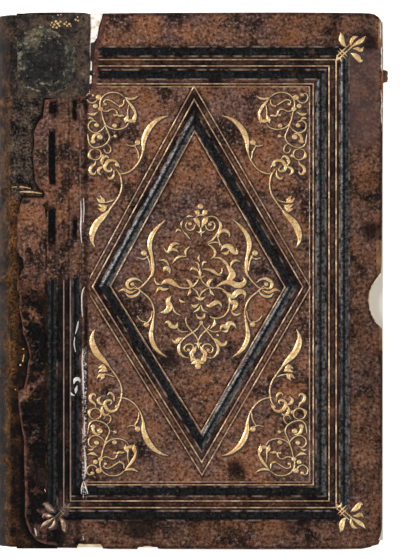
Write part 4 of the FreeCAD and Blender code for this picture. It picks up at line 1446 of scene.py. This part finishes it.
def worn_line_material():
    """Gold of the ruled lines, rubbed through to the leather along much of their length."""
    tree, shader, place = new_material("worn_gilt")
    tone = colours()
    patchy = noise(tree, place, 330, 4, 0.6)
    gold = mixed(tree, ranged(tree, patchy, 0.35, 0.65), tone.gold_worn, tone.line_gold)
    worn = blotches(tree, place, 180.0, 0.52)
    colour = shaded(tree, worn, 0.85, gold, tone.leather_brown)
    parts = parts_of(tree, place)
    faded = times(tree, ranged(tree, parts["X"], x_of(86), x_of(78)),
                  ranged(tree, parts["Y"], y_of(508), y_of(503)))
    colour = shaded(tree, faded, 0.75, colour, tone.leather_dull)
    metal = times(tree, ranged(tree, worn, 0, 1, 0.4, 0.0), ranged(tree, faded, 1, 0))
    surface(tree, shader, colour, 0.4, noise(tree, place, 1500, 3), 0.08 * MM, Metallic=metal)


def plain_material(name, first, second, scale, rough, depth, stretch=None, grain_scale=900):
    """A matt surface of two colours, mixed in patches, with fine unevenness."""
    tree, shader, place = new_material(name)
    mottle = noise(tree, place, scale, 5, 0.62, stretch)
    colour = mixed(tree, ranged(tree, mottle, 0.34, 0.68), first, second)
    surface(tree, shader, colour, rough, noise(tree, place, grain_scale, 4, 0.6, stretch), depth)


def page_material():
    """Aged rag paper: browned towards its edges, with each leaf's edge as a fine line."""
    tree, shader, place = new_material("pages")
    tone = colours()
    parts = parts_of(tree, place)
    leaves = noise(tree, place, 7200, 2, 0.6, (0.012, 0.012, 1.0))
    stain = noise(tree, place, 45, 4, 0.6)
    colour = mixed(tree, ranged(tree, leaves, 0.36, 0.62), tone.paper_dark, tone.paper)
    facing = parts_of(tree, node(tree, "ShaderNodeNewGeometry").outputs["Normal"])
    flat = ranged(tree, maths(tree, "ABSOLUTE", facing["Z"]), 0.75, 0.9)
    colour = mixed(tree, flat, colour, tone.paper)
    colour = mixed(tree, ranged(tree, stain, 0.5, 0.72, 0, 0.25), colour, tone.paper_dark)
    fore = ranged(tree, parts["X"], 78 * MM, 86 * MM)
    ends = ranged(tree, maths(tree, "ABSOLUTE", parts["Y"]), 110 * MM, 116 * MM)
    edge = times(tree, maths(tree, "MAXIMUM", fore, ends), inverse(tree, flat))
    colour = shaded(tree, edge, 0.25, colour, tone.paper_edge)
    surface(tree, shader, colour, 0.85, leaves, 0.15 * MM)


def thread_material():
    """Silk wound over the endband in two colours, by the turns of its own winding."""
    tree, shader, place = new_material("endband_thread")
    tone = colours()
    turns = stored(tree, "winding")
    stripe = ranged(tree, maths(tree, "SINE", times(tree, turns, math.pi / 3)), -0.1, 0.1)
    fade = noise(tree, place, 500, 3)
    first = mixed(tree, fade, tone.thread, tone.repair_dark)
    second = mixed(tree, fade, tone.paper_dark, tone.thread_pale)
    surface(tree, shader, mixed(tree, stripe, first, second), 0.6, noise(tree, place, 2600, 2), 0.05 * MM)


def torn_paper_material():
    """Pale torn paper, and brown torn leather around it, which is also painted shade in the crack."""
    tree, shader, place = new_material("torn_paper")
    tone = colours()
    pale = broken(tree, place, stored(tree, "pale"), 600, 0.7)
    fibres = noise(tree, place, 420, 5, 0.62)
    paper = mixed(tree, ranged(tree, fibres, 0.3, 0.45), tone.rubbed, tone.torn_paper)
    # Dark torn leather, which also stands as painted shade in the crack
    leather = mixed(tree, fibres, tone.flesh_dark, tone.leather_black)
    colour = mixed(tree, ranged(tree, pale, 0.4, 0.6), leather, paper)
    surface(tree, shader, colour, 0.9, noise(tree, place, 900, 4), 0.1 * MM)


def board_material():
    """Pasteboard in thin pasted layers, pale and soft where it shows."""
    tree, shader, place = new_material("board")
    tone = colours()
    layers = noise(tree, place, 4200, 3, 0.6, (0.02, 0.02, 1.0))
    stain = noise(tree, place, 260, 4)
    colour = mixed(tree, ranged(tree, layers, 0.35, 0.65), tone.board_dark, tone.board)
    colour = mixed(tree, ranged(tree, stain, 0.5, 0.75, 0, 0.6), colour, tone.board_dark)
    surface(tree, shader, colour, 0.9, maths(tree, "ADD", layers, noise(tree, place, 900, 4)), 0.2 * MM)


def cord_material():
    """Twisted hemp, with slanting strands, darker in the hollows between them as painted shade."""
    tree, shader, place = new_material("cord")
    tone = colours()
    strands = node(tree, "ShaderNodeTexWave", {"Vector": place, "Scale": 260.0, "Distortion": 1.5},
                   wave_type="BANDS", bands_direction="DIAGONAL").outputs["Fac"]
    # Painted shade: the hollows between strands are darker, on the same bands as the bump
    colour = mixed(tree, strands, tone.cord_dark, tone.cord)
    surface(tree, shader, colour, 0.85, strands, 0.15 * MM)


def materials():
    """Make every material once and give them by name."""
    if "gilt" not in FINISHES:
        for make in (old_leather_material, patch_material, new_leather_material, gilt_material,
                     worn_line_material, page_material, thread_material, board_material, cord_material,
                     torn_paper_material):
            make()
        tone = colours()
        # Painted shadow: dark leather colours for the shadows that the raised gold casts
        plain_material("painted_tool_shadow", tone.leather_black, tone.leather_dark, 300, 0.5, 0.05 * MM)
        # Painted highlight: pale colour of the crease glint strokes
        plain_material("gloss_and_painted_glint", tone.leather_pale, tone.glint, 360, 0.3, 0.06 * MM)
        plain_material("paper", tone.paper_aged, tone.paper, 60, 0.85, 0.04 * MM)
        plain_material("lining", tone.cord_dark, tone.board, 90, 0.85, 0.05 * MM)
        plain_material("tie", tone.repair_dark, tone.tie, 320, 0.55, 0.1 * MM, (1, 0.3, 1))
    return FINISHES


# Sizes, colours and one operator for each piece


class BookSizes(bpy.types.PropertyGroup):
    """Sizes of the book's looks, in real units."""

    photo_pixel: FloatProperty(
        name="Photo pixel", description="Real width of one pixel of the photograph",
        default=0.4465 * MM, unit="LENGTH", precision=6)
    band_height: FloatProperty(
        name="Band height", description="Rise of the black painted bands over the leather",
        default=0.6 * MM, unit="LENGTH", precision=5)
    gilt_height: FloatProperty(
        name="Gilt height", description="Rise of the gold ornament over the leather",
        default=0.3 * MM, unit="LENGTH", precision=5)
    line_half_width: FloatProperty(
        name="Line half width", description="Half the width of the ruled gold lines",
        default=0.36 * MM, unit="LENGTH", precision=5)
    camera_distance: FloatProperty(
        name="Camera distance", description="Height of the camera over the table",
        default=3.0, unit="LENGTH")


def colour_property(name, description, red, green, blue):
    return FloatVectorProperty(name=name, description=description, subtype="COLOR", size=4, min=0, max=1,
                               default=paint(red, green, blue))


class BookColours(bpy.types.PropertyGroup):
    """Colours of the book's leathers, gold and paper."""

    leather_brown: colour_property("Leather brown", "Middle tone of the old leather", 127, 88, 68)
    leather_red: colour_property("Leather red", "Warm patches of the old leather", 153, 97, 62)
    leather_dull: colour_property("Leather dull", "Greyish purple parts of the old leather", 96, 74, 71)
    leather_dark: colour_property("Leather dark", "Dark mottling of the old leather", 66, 43, 34)
    leather_black: colour_property("Leather black", "Darkest stains of the old leather", 12, 8, 9)
    # Glint is the colour of painted highlights along the crease
    glint: colour_property("Glint", "Polished glints along the crease", 226, 222, 220)
    # Leather pale is also the colour of painted highlights: sparkle on the bands and their rims, and the
    # crease glints
    leather_pale: colour_property("Leather pale", "Rubbed and dusty points", 184, 158, 144)
    band_black: colour_property("Band black", "Paint of the bands", 4, 4, 6)
    flesh: colour_property("Flesh side", "Torn edge of the leather", 118, 78, 64)
    flesh_dark: colour_property("Flesh dark", "Shaded torn edge of the leather", 60, 36, 30)
    rubbed: colour_property("Rubbed edge", "Leather rubbed through at corners and edges", 172, 124, 84)
    patch_grey: colour_property("Patch grey", "Middle tone of the patch", 70, 69, 62)
    patch_olive: colour_property("Patch olive", "Bare olive scuff of the patch", 112, 100, 78)
    patch_dark: colour_property("Patch dark", "Dark parts of the patch", 36, 32, 32)
    patch_brown: colour_property("Patch brown", "Smoother outer part of the patch", 92, 74, 60)
    patch_scuff: colour_property("Patch scuff", "Scuffs of the patch", 176, 166, 138)
    repair_brown: colour_property("Repair brown", "Newer leather of the spine", 122, 80, 42)
    repair_dark: colour_property("Repair dark", "Dark mottling of the newer leather", 44, 28, 18)
    repair_olive: colour_property("Repair olive", "Dull streaks of the newer leather", 70, 55, 34)
    repair_slate: colour_property("Repair slate", "Slate grey newer leather near the head", 98, 82, 70)
    gold_pale: colour_property("Gold pale", "Bright gold leaf", 244, 214, 156)
    gold_orange: colour_property("Gold orange", "Deep gold leaf", 204, 150, 88)
    gold_worn: colour_property("Gold worn", "Gold rubbed thin", 140, 96, 58)
    line_gold: colour_property("Line gold", "Gold of the ruled lines", 226, 196, 156)
    torn_paper: colour_property("Torn paper", "Torn paper in the gap by the patch", 255, 246, 236)
    paper: colour_property("Paper", "Pages", 252, 244, 230)
    paper_dark: colour_property("Paper dark", "Browned paper", 226, 208, 174)
    paper_aged: colour_property("Paper aged", "Yellowed parts of the pastedowns", 240, 229, 204)
    paper_edge: colour_property("Paper edge", "Edges of the pages", 186, 158, 116)
    board: colour_property("Board", "Pasteboard", 226, 212, 184)
    board_dark: colour_property("Board dark", "Stained pasteboard", 176, 148, 112)
    cord: colour_property("Cord", "Hemp cords", 196, 172, 130)
    # Cord dark also paints shade in the cords' hollows
    cord_dark: colour_property("Cord dark", "Hollows of the hemp cords", 140, 112, 76)
    thread: colour_property("Thread", "Endband silk", 150, 100, 56)
    thread_pale: colour_property("Thread pale", "Second endband silk", 214, 194, 152)
    tie: colour_property("Tie", "Stub of the leather tie", 140, 96, 62)


class BOOK_OT_front_leather(bpy.types.Operator):
    """Old tooled leather of the front cover"""

    bl_idname = "book.front_leather"
    bl_label = "Front leather"

    def execute(self, context):
        outline = COVER_EDGE + TORN_EDGE + CRACK_EDGE
        skin = cover_skin("front_tooled_leather", outline, old_leather_height, 212, 310)
        mark_edges(skin, COVER_EDGE, TORN_EDGE + CRACK_EDGE)
        finish(skin, FRONT, "old_leather", "old_leather", "front_leather")
        return {"FINISHED"}


def mark_edges(obj, wrapped, torn):
    """Store how near each point is to a torn edge, and how rubbed it is."""
    x, y = points_of(obj).T[:2]
    to_torn = line_distance(x, y, torn)
    to_crack = line_distance(x, y, CRACK_EDGE + COVER_EDGE[:1])
    reach = (1.5 + 0.7 * ripple(x, y, 14 * MM, 23) + 0.8 * (y < y_of(430))) * MM
    torn_share = np.clip(1 - to_torn / np.maximum(reach, 0.3 * MM), 0, 1) * 0.85
    torn_share = np.maximum(torn_share, np.clip(1.35 - to_crack / (2.4 * MM), 0, 1))
    store(obj, "torn", torn_share)
    to_wrapped = line_distance(x, y, wrapped)
    rubbed = 0.75 * np.clip(1 - to_wrapped / (2.4 * MM), 0, 1)
    store(obj, "rubbed", rubbed)


class BOOK_OT_gilding(bpy.types.Operator):
    """Gold lines, corner pieces, scrolls, centre ornament and flowers of the front cover"""

    bl_idname = "book.gilding"
    bl_label = "Gilding"

    def execute(self, context):
        size = sizes()
        half = size.line_half_width
        lines = []
        for count, edges in enumerate((FILLET_1, FILLET_2, FILLET_3)):
            lines.append(frame_strip(f"line_{count}", frame_corners(edges), half, 0.2 * MM))
        lines.append(frame_strip("line_thin", frame_corners(FILLET_4), half * 0.7, 0.15 * MM))
        for count, inset in enumerate(LOZENGE_LINE_INSETS):
            lines.append(frame_strip(f"lozenge_line_{count}", lozenge_inside(inset), half, 0.2 * MM))
        ruled = join("gilt_lines", lines)
        x, y = points_of(ruled).T[:2]
        rubbed_x, rubbed_y = spot(RUBBED_PX, RUBBED_PY)
        beside_crease = (x > rubbed_x) & (x < x_of(CREASE_PX + 6)) & (y > y_of(478))
        there = ((x > rubbed_x) | (y < rubbed_y)) & ~beside_crease
        trim(ruled, there & inside_outline(x, y, spots(COVER_EDGE + TORN_EDGE + CRACK_EDGE)))
        finish(ruled, FRONT, "gilt", "worn_gilt")

        ornaments = {
            "gilt_corner_pieces": four_ways(CORNER_PIECE, *CORNER_MIRROR),
            "gilt_leaf_scrolls": (
                four_ways(CRESCENT_SCROLL, *CRESCENT_MIRROR) + four_ways(LEAF_SCROLL, *LEAF_MIRROR)),
            "gilt_side_scrolls": list(SIDE_SCROLL) + mirrored(SIDE_SCROLL, across=SIDE_MIRROR),
            "gilt_centre": list(CENTRE_RIGHT + CENTRE_LEFT + CENTRE_AXIS),
            "gilt_corner_flowers": list(CORNER_FLOWER) + mirrored(CORNER_FLOWER, along=FLOWER_MIRROR[1]),
            "gilt_worn_flower": mirrored(CORNER_FLOWER, *FLOWER_MIRROR),
        }
        for name, strokes in ornaments.items():
            material = "worn_gilt" if name == "gilt_worn_flower" else "gilt"
            spread = WORN_SPREADS.get(name, GOLD_SPREAD)
            lay_on_front(name, strokes, size.gilt_height, leather_relief, "gilt", material, spread)
        # Painted shadow: dark copies of the ornament, slid right and down, stand for the shadow the raised
        # gold casts on the leather
        shadow_strokes = slid(sum(ornaments.values(), []), 0.8, 0.6)
        lay_on_front("tooling_marks", shadow_strokes, 0.05 * MM, leather_relief, "old_leather", "painted_tool_shadow", 0.75)
        # Painted highlights: pale strokes for the glints of light along the crease
        lay_on_front("crease_glints", CREASE_GLINTS, 0.1 * MM, old_leather_height, "old_leather", "gloss_and_painted_glint")
        return {"FINISHED"}


def torn_fibres():
    """Pale torn paper over the board in the gap beside the patch, and dark torn leather beside it that is
    also painted shade in the crack.
    """
    def place(u, v):
        row = 13.4 + 80 * v
        crack = np.array(sorted((py, px) for px, py in CRACK_EDGE + COVER_EDGE[:1] + TORN_EDGE[-1:]))
        end = np.interp(row, *crack.T) + 0.8
        column = between(89, end, u)
        x, y = spot(column, row)
        pale = column < np.interp(row, GAP_ROWS, GAP_ENDS)
        level = BOARD_HIGH[2] + np.where(pale, 0.42, 0.16) * MM + 0.06 * MM * ripple(x, y, 0.9 * MM, 21)
        return x, y, level

    fibres = sheet("torn_fibres", 12, 120, place)
    recalculate(fibres)
    thicken(fibres, 0.15 * MM)
    x, y = points_of(fibres).T[:2]
    row = MIDDLE_PY - y / sizes().photo_pixel
    column = (x - JOINT_X) / sizes().photo_pixel + JOINT_PX
    store(fibres, "pale", np.clip(np.interp(row, GAP_ROWS, GAP_ENDS) - column + 0.5, 0, 1))
    return fibres


class BOOK_OT_corner_patch(bpy.types.Operator):
    """Scuffed patch at the head of the front cover, with its last flecks of gold"""

    bl_idname = "book.corner_patch"
    bl_label = "Corner patch"

    def execute(self, context):
        patch = cover_skin("corner_patch", PATCH_EDGE, patch_height, 46, 54)
        finish(patch, FRONT, "patch_leather", "patch_leather", "front_corner_patch")
        fibres = torn_fibres()
        finish(fibres, FRONT, "board", "torn_paper")
        lay_on_front("gilt_flecks", PATCH_FLECKS, 0.15 * MM, patch_height, "gilt", "gilt")
        return {"FINISHED"}


def flap_height(x, y):
    return FLAP_HIGH[2] - 0.05 * MM + uneven(x, y, (0.04, 9, 11), (0.02, 3, 12))


def flap(name):
    """Newer leather that runs from the joint onto a board, under the old leather."""
    low = (JOINT_X + 0.2 * MM, FLAP_LOW[1])
    high = (FLAP_HIGH[0], FLAP_HIGH[1])

    def place(u, v):
        x = between(low[0], high[0], u)
        y = between(low[1], high[1], v)
        near_end = np.clip(np.minimum(v, 1 - v) * (high[1] - low[1]) / (1.2 * MM), 0, 1)
        return x, y, flap_height(x, y) - 0.6 * MM * (1 - near_end) ** 2

    piece = sheet(name, 24, 300, place)
    close_down_to(piece, FLAP_LOW[2])
    right = FLAP_HIGH[0] + MM
    carve(piece, box_block("board_room", BOARD_LOW, (right, BOARD_HIGH[1], BOARD_HIGH[2])))
    carve(piece, box_block("cover_inside", (JOINT_X - MM, FLAP_LOW[1] + TURN_IN, FLAP_LOW[2] - MM),
                           (right, FLAP_HIGH[1] - TURN_IN, BOARD_LOW[2] + CARVE_GAP)))
    return piece


def joint_strip(name):
    """The leather across the joint."""
    start = JOINT_X - 2.6 * MM
    end = JOINT_X + 1.6 * MM

    def place(u, v):
        x = between(start, end, u)
        y = between(SPINE_LOW[1], SPINE_HIGH[1], v)
        sag = 0.12 * MM * np.sin(np.pi * u) ** 2 + 0.3 * MM * np.clip(1 - u * 2.2, 0, 1) ** 2
        return x, y, FLAP_HIGH[2] + 0.1 * MM - sag + 0.03 * MM * ripple(x, y, 5 * MM, 14)

    strip = sheet(name, 22, 200, place)
    thicken(strip, 0.45 * MM)
    return strip


class BOOK_OT_joint_leather(bpy.types.Operator):
    """Newer leather on the boards and across the joints"""

    bl_idname = "book.joint_leather"
    bl_label = "Joint leather"

    def execute(self, context):
        front = flap("front_joint_flap")
        # Painted shade: the crevice left of the raised torn edge is stored to be painted near black
        x, y = points_of(front).T[:2]
        to_torn = line_distance(x, y, TORN_EDGE)
        reach = np.where(y < y_of(455), 2.4 * MM, 1.1 * MM)
        store(front, "painted_crevice_shade", np.clip(1.5 - to_torn / reach, 0, 1))
        finish(front, FRONT, "spine_leather", "spine_leather", "front_leather_flap")
        back = flap("back_joint_flap")
        flip_to_back(back)
        finish(back, BACK, "spine_leather", "spine_leather", "back_leather_flap")
        ends = ((JOINT_X - 2.0 * MM, 0, BOOK_TOP), (JOINT_X + 1.0 * MM, 0, BOOK_TOP))
        for name, cover in (("front_joint_strip", FRONT), ("back_joint_strip", BACK)):
            strip = joint_strip(name)
            if cover == BACK:
                flip_to_back(strip)
            finish(strip, None, "spine_leather", "spine_leather")
            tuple(ends[0])
            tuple(ends[1])
            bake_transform(strip)
        lay_on_front("gilt_joint_flecks", JOINT_FLECKS, 0.1 * MM, flap_height, "gilt", "gilt")
        return {"FINISHED"}


class BOOK_OT_spine(bpy.types.Operator):
    """Leather of the spine over its raised bands, with caps over the endbands"""

    bl_idname = "book.spine"
    bl_label = "Spine"

    def execute(self, context):
        end_y = SPINE_HIGH[1]
        curl = 1.2 * MM
        inward = 3.2 * MM
        lip = 0.05

        def place(u, v):
            angle = (u - 0.5) * 2 * SPINE_ANGLE
            along = (v - 0.5) * 2
            share = np.clip((np.abs(along) - (1 - lip)) / lip, 0, 1)
            flat = np.clip(np.abs(along) / (1 - lip), 0, 1) * (end_y - curl)
            round_part = np.clip(share * 2, 0, 1) * math.pi / 2
            over_end = np.clip(share * 2 - 1, 0, 1)
            held = 1 - smooth_step(np.abs(angle), BAND_ANGLE - 0.12, BAND_ANGLE)
            y = np.sign(along) * (flat + curl * np.sin(round_part))
            fall = curl * (1 - np.cos(round_part)) * (0.15 + 0.85 * held) + (inward - curl) * over_end * held
            fade = 1 - smooth_step(np.abs(angle), BAND_ANGLE + 0.01, SPINE_ANGLE - 0.02)
            rise = 0
            for height in CORD_HEIGHTS:
                rise = rise + BAND_RISE * np.exp(-(np.abs(y - height) / (2.4 * MM)) ** 3)
            hollow = 0.12 * MM * ripple(angle * SPINE_RADIUS, y, 24 * MM, 17)
            radius = SPINE_RADIUS + rise * fade + hollow * fade - fall
            return AXIS_X - radius * np.cos(angle), y, BOOK_MIDDLE + radius * np.sin(angle)

        spine = sheet("spine_cover", 64, 640, place)
        recalculate(spine)
        thicken(spine, 0.8 * MM)
        y, height = points_of(spine).T[1:]
        from_cord = np.min([np.abs(y - cord) for cord in CORD_HEIGHTS], axis=0)
        angle = np.abs(np.arcsin(np.clip((height - BOOK_MIDDLE) / SPINE_RADIUS, -1, 1)))
        on_back = 1 - smooth_step(angle, BAND_ANGLE - 0.1, SPINE_ANGLE - 0.03)
        # Crests of the raised bands are lighter, as rubbed leather and as a painted highlight
        store(spine, "crest_rub_and_painted_highlight", on_back * hill(from_cord, 1.5 * MM))
        # Painted shade on the flanks beside the raised bands
        store(spine, "painted_crevice_shade", 0.6 * on_back * hill(from_cord - 3.3 * MM, 0.9 * MM))
        finish(spine, BOOK, "spine_leather", "spine_leather", "spine_leather")
        return {"FINISHED"}


class BOOK_OT_back_leather(bpy.types.Operator):
    """Plainly tooled leather of the back cover"""

    bl_idname = "book.back_leather"
    bl_label = "Back leather"

    def execute(self, context):
        skin = cover_skin("back_tooled_leather", BACK_EDGE, back_height, 150, 220)
        mark_edges(skin, BACK_WRAPPED, BACK_TORN)
        flip_to_back(skin)
        finish(skin, BACK, "old_leather", "old_leather", "back_leather")
        return {"FINISHED"}


def gathering(number):
    """One folded gathering: flat in the block, fanned out at the rounded back, hollow at the fore-edge."""
    thickness = (TEXT_TOP - TEXT_BOTTOM) / GATHERINGS
    level = TEXT_BOTTOM + thickness * (number + 0.5)
    half = thickness / 2 - 0.02 * MM
    half_height = (TEXT_TOP - TEXT_BOTTOM) / 2
    shoulder = (TEXT_HIGH[2] - TEXT_LOW[2]) / 2 / half_height
    from_middle = (level - BOOK_MIDDLE) / (half_height - thickness / 2)
    reach = 0.12 * MM * math.sin(number * 2.3 + 1)
    fore_x = TEXT_HIGH[0] - FORE_EDGE_HOLLOW * (1 - from_middle**2) - 0.12 * MM + reach
    if number == GATHERINGS - 1:
        fore_x = LEATHER_HIGH[0]
    end = TEXT_HIGH[1] - 0.15 * MM + 0.12 * MM * math.sin(number * 4.1)
    back_height = (level - BOOK_MIDDLE) * shoulder
    back_x = AXIS_X - math.sqrt(BACK_RADIUS**2 - back_height**2)

    def place(u, v):
        around = u * 4
        side = np.where(around < 2, 1, -1)
        share = np.where(around < 2, around / 2, 2 - around / 2)
        x = between(back_x, fore_x, share**1.7)
        near_fold = np.clip((x - back_x) / (0.9 * MM), 0, 1)
        near_fore = np.clip((fore_x - x) / (0.25 * MM), 0, 1)
        near_end = np.clip(np.minimum(v, 1 - v) * 2 * end / (0.35 * MM), 0, 1)
        swell = np.sqrt(1 - (1 - near_fold) ** 2) * (0.86 + 0.14 * near_fore) * (0.9 + 0.1 * near_end)
        fan = 1 + (shoulder - 1) * (1 - smooth_step(x, JOINT_X - 1.6 * MM, JOINT_X - 0.5 * MM))
        z = BOOK_MIDDLE + (level - BOOK_MIDDLE + side * half * swell) * fan
        y = (v - 0.5) * 2 * end
        return x, y, z

    piece = sheet("gathering", 88, 60, place)
    recalculate(piece)
    set_mode("EDIT")
    bpy.ops.mesh.select_all(action="SELECT")
    bpy.ops.mesh.fill_holes(sides=0)
    bpy.ops.mesh.normals_make_consistent(inside=False)
    set_mode("OBJECT")
    return piece


class BOOK_OT_pages(bpy.types.Operator):
    """The block of pages in its gatherings"""

    bl_idname = "book.pages"
    bl_label = "Pages"

    def execute(self, context):
        pages = join("page_block", [gathering(number) for number in range(GATHERINGS)])
        finish(pages, BOOK, "pages", "pages", "text_block")
        return {"FINISHED"}


def paper_joint(name):
    """The paper hinge inside the joint, folded between the pages' shoulder and the board."""
    shoulder_x = JOINT_X - 0.32 * MM
    board_x = JOINT_X + 0.08 * MM
    low = TEXT_TOP + 0.25 * MM
    high = FLAP_HIGH[2] - 0.55 * MM

    def place(u, v):
        up = smooth_step(u, 0, 0.45)
        down = smooth_step(u, 0.55, 1)
        x = between(shoulder_x, board_x, smooth_step(u, 0.42, 0.58))
        y = (v - 0.5) * 2 * (TEXT_HIGH[1] - 0.5 * MM)
        return x, y, low + (high - low) * up - (high - PASTEDOWN_LOW[2] - 0.2 * MM) * down

    return sheet(name, 40, 60, place)


class BOOK_OT_paper_joints(bpy.types.Operator):
    """Paper hinges inside both covers"""

    bl_idname = "book.paper_joints"
    bl_label = "Paper joints"

    def execute(self, context):
        for name, cover in (("front_paper_joint", FRONT), ("back_paper_joint", BACK)):
            hinge = paper_joint(name)
            thicken(hinge, 0.1 * MM, 0)
            if cover == BACK:
                flip_to_back(hinge)
            finish(hinge, None, "pastedown", "paper")
            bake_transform(hinge)
        return {"FINISHED"}


class BOOK_OT_endbands(bpy.types.Operator):
    """Silk wound over the endbands at head and tail"""

    bl_idname = "book.endbands"
    bl_label = "Endbands"

    def execute(self, context):
        path = 24.66 * MM
        reach = math.radians(33.0)
        turns = 66
        for name, node_name in (("headband_silk", "headband_thread"), ("tailband_silk", "tailband_thread")):
            low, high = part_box(node_name)
            middle_y = (low[1] + high[1]) / 2
            half = (high[1] - low[1]) / 2

            def place(u, v):
                around = u * 2 * math.pi
                angle = (v - 0.5) * 2 * reach
                close = np.clip(np.minimum(v, 1 - v) * 60, 0, 1) ** 0.5
                ridge = half * close * (0.9 + 0.1 * np.abs(np.sin((v * turns + u) * math.pi)))
                radius = path + ridge * np.cos(around)
                return AXIS_X - radius * np.cos(angle), middle_y + ridge * np.sin(around), (
                    BOOK_MIDDLE + radius * np.sin(angle))

            silk = sheet(name, 12, turns * 4, place)
            recalculate(silk)
            height = points_of(silk)[:, 2]
            store(silk, "winding", (height - BOOK_MIDDLE) / MM * 2.2)
            finish(silk, BOOK, "endband_thread", "endband_thread", node_name, angle=60)
        return {"FINISHED"}


class BOOK_OT_tie_stub(bpy.types.Operator):
    """Cut-off leather tie at the fore-edge"""

    bl_idname = "book.tie_stub"
    bl_label = "Tie stub"

    def execute(self, context):
        def place(u, v):
            across = (v - 0.5) * 2
            x = between(TIE_LOW[0], TIE_HIGH[0], u)
            beyond = smooth_step(x, BOARD_HIGH[0], TIE_HIGH[0])
            half = (TIE_HIGH[1] - TIE_LOW[1]) / 2 * (1 - 0.22 * beyond)
            ragged = 0.25 * MM * np.sin(across * 7 + 1) * beyond
            y = (TIE_LOW[1] + TIE_HIGH[1]) / 2 + half * across
            crown = 0.1 * MM * (1 - across**2) * beyond
            return np.minimum(x - ragged * (u > 0.98), TIE_HIGH[0]), y, TIE_HIGH[2] - 0.12 * MM + crown

        stub = sheet("tie_stub", 30, 16, place)
        thicken(stub, 0.3 * MM)
        finish(stub, FRONT, "tie", "tie", "front_tie_stub")
        return {"FINISHED"}


class BOOK_OT_carried_over(bpy.types.Operator):
    """Finishes of the boards, papers, cords and linings kept from the frame"""

    bl_idname = "book.carried_over"
    bl_label = "Boards, papers and cords"

    def execute(self, context):
        kept = {"board": "board", "pastedown": "paper", "slip": "cord", "cord": "cord", "lining": "lining",
                "core": "cord", "text_block": "pages"}
        for name, obj in frame["nodes"].items():
            for part, material in kept.items():
                if part in name:
                    obj.data.materials.clear()
                    obj.data.materials.append(materials()[material])
        return {"FINISHED"}


class BOOK_OT_stage(bpy.types.Operator):
    """Pale table, lamps, surroundings and the camera straight above"""

    bl_idname = "book.stage"
    bl_label = "Stage"

    def execute(self, context):
        scene = context.scene
        scene.view_settings.view_transform = "Standard"
        add_floor()
        add_world(scene)
        for lamp in LAMPS:
            add_lamp(*lamp)
        middle_x, middle_y = spot(*VIEW_MIDDLE)
        distance = sizes().camera_distance
        camera = bpy.data.cameras.new("camera")
        camera.sensor_width = SENSOR_WIDTH
        camera.lens = SENSOR_WIDTH * distance / (PHOTO_SIZE[1] * sizes().photo_pixel)
        camera.clip_end = 20
        holder = bpy.data.objects.new("camera", camera)
        holder.location = (middle_x, middle_y, BOOK_TOP + distance)
        scene.collection.objects.link(holder)
        scene.camera = holder
        return {"FINISHED"}


def add_floor():
    deselect_all()
    bpy.ops.mesh.primitive_plane_add(size=TABLE_WIDTH, location=(0, 0, 0))
    floor = named("floor")
    tree, shader, place = new_material("floor")
    colour = mixed(tree, noise(tree, place, 3, 2), paint(246, 246, 245), paint(250, 250, 249))
    seen = node(tree, "ShaderNodeLightPath").outputs["Is Camera Ray"]
    white = mixed(tree, seen, (0, 0, 0, 1), (1, 1, 1, 1))
    surface(tree, shader, colour, 0.9, Emission_Color=white, Emission_Strength=TABLE_GLOW)
    floor.data.materials.append(FINISHES["floor"])


def add_world(scene):
    """Soft even surroundings, white behind the object."""
    world = bpy.data.worlds.new("room")
    scene.world = world
    world.use_nodes = True
    tree = world.node_tree
    tree.nodes.clear()
    rays = node(tree, "ShaderNodeLightPath").outputs
    seen = maths(tree, "MAXIMUM", rays["Is Camera Ray"], rays["Is Transmission Ray"])
    strength = ranged(tree, seen, 0.0, 1.0, ROOM_LIGHT, 1.0)
    back = node(tree, "ShaderNodeBackground", {"Color": (1, 1, 1, 1), "Strength": strength})
    node(tree, "ShaderNodeOutputWorld", {"Surface": back.outputs["Background"]})


def add_lamp(name, place, size, power):
    light = bpy.data.lights.new(name, "AREA")
    light.size = size
    light.energy = power
    lamp = bpy.data.objects.new(name, light)
    lamp.location = place
    x, y, z = place
    lamp.rotation_euler = (math.atan2(math.hypot(x, y), z), 0, math.atan2(y, x) + math.pi / 2)
    bpy.context.scene.collection.objects.link(lamp)


class BOOK_PT_panel(bpy.types.Panel):
    """Lists the book's sizes, colours and pieces"""

    bl_idname = "BOOK_PT_panel"
    bl_label = "Book"
    bl_space_type = "VIEW_3D"
    bl_region_type = "UI"
    bl_category = "Book"

    def draw(self, context):
        layout = self.layout
        for group_of_values in (context.scene.book_sizes, context.scene.book_colours):
            box = layout.box()
            for key in type(group_of_values).__annotations__:
                box.prop(group_of_values, key)
        for operator in PIECES:
            layout.operator(operator.bl_idname)


PIECES = (
    BOOK_OT_front_leather,
    BOOK_OT_gilding,
    BOOK_OT_corner_patch,
    BOOK_OT_joint_leather,
    BOOK_OT_spine,
    BOOK_OT_back_leather,
    BOOK_OT_pages,
    BOOK_OT_paper_joints,
    BOOK_OT_endbands,
    BOOK_OT_tie_stub,
    BOOK_OT_carried_over,
    BOOK_OT_stage,
)
CLASSES = (BookSizes, BookColours, *PIECES, BOOK_PT_panel)


def register():
    for cls in CLASSES:
        bpy.utils.register_class(cls)
    bpy.types.Scene.book_sizes = PointerProperty(type=BookSizes)
    bpy.types.Scene.book_colours = PointerProperty(type=BookColours)


def unregister():
    del bpy.types.Scene.book_colours
    del bpy.types.Scene.book_sizes
    for cls in reversed(CLASSES):
        bpy.utils.unregister_class(cls)


def main():
    register()
    for operator in PIECES:
        group_name, call = operator.bl_idname.split(".")
        getattr(getattr(bpy.ops, group_name), call)()


if __name__ == "__main__":
    main()
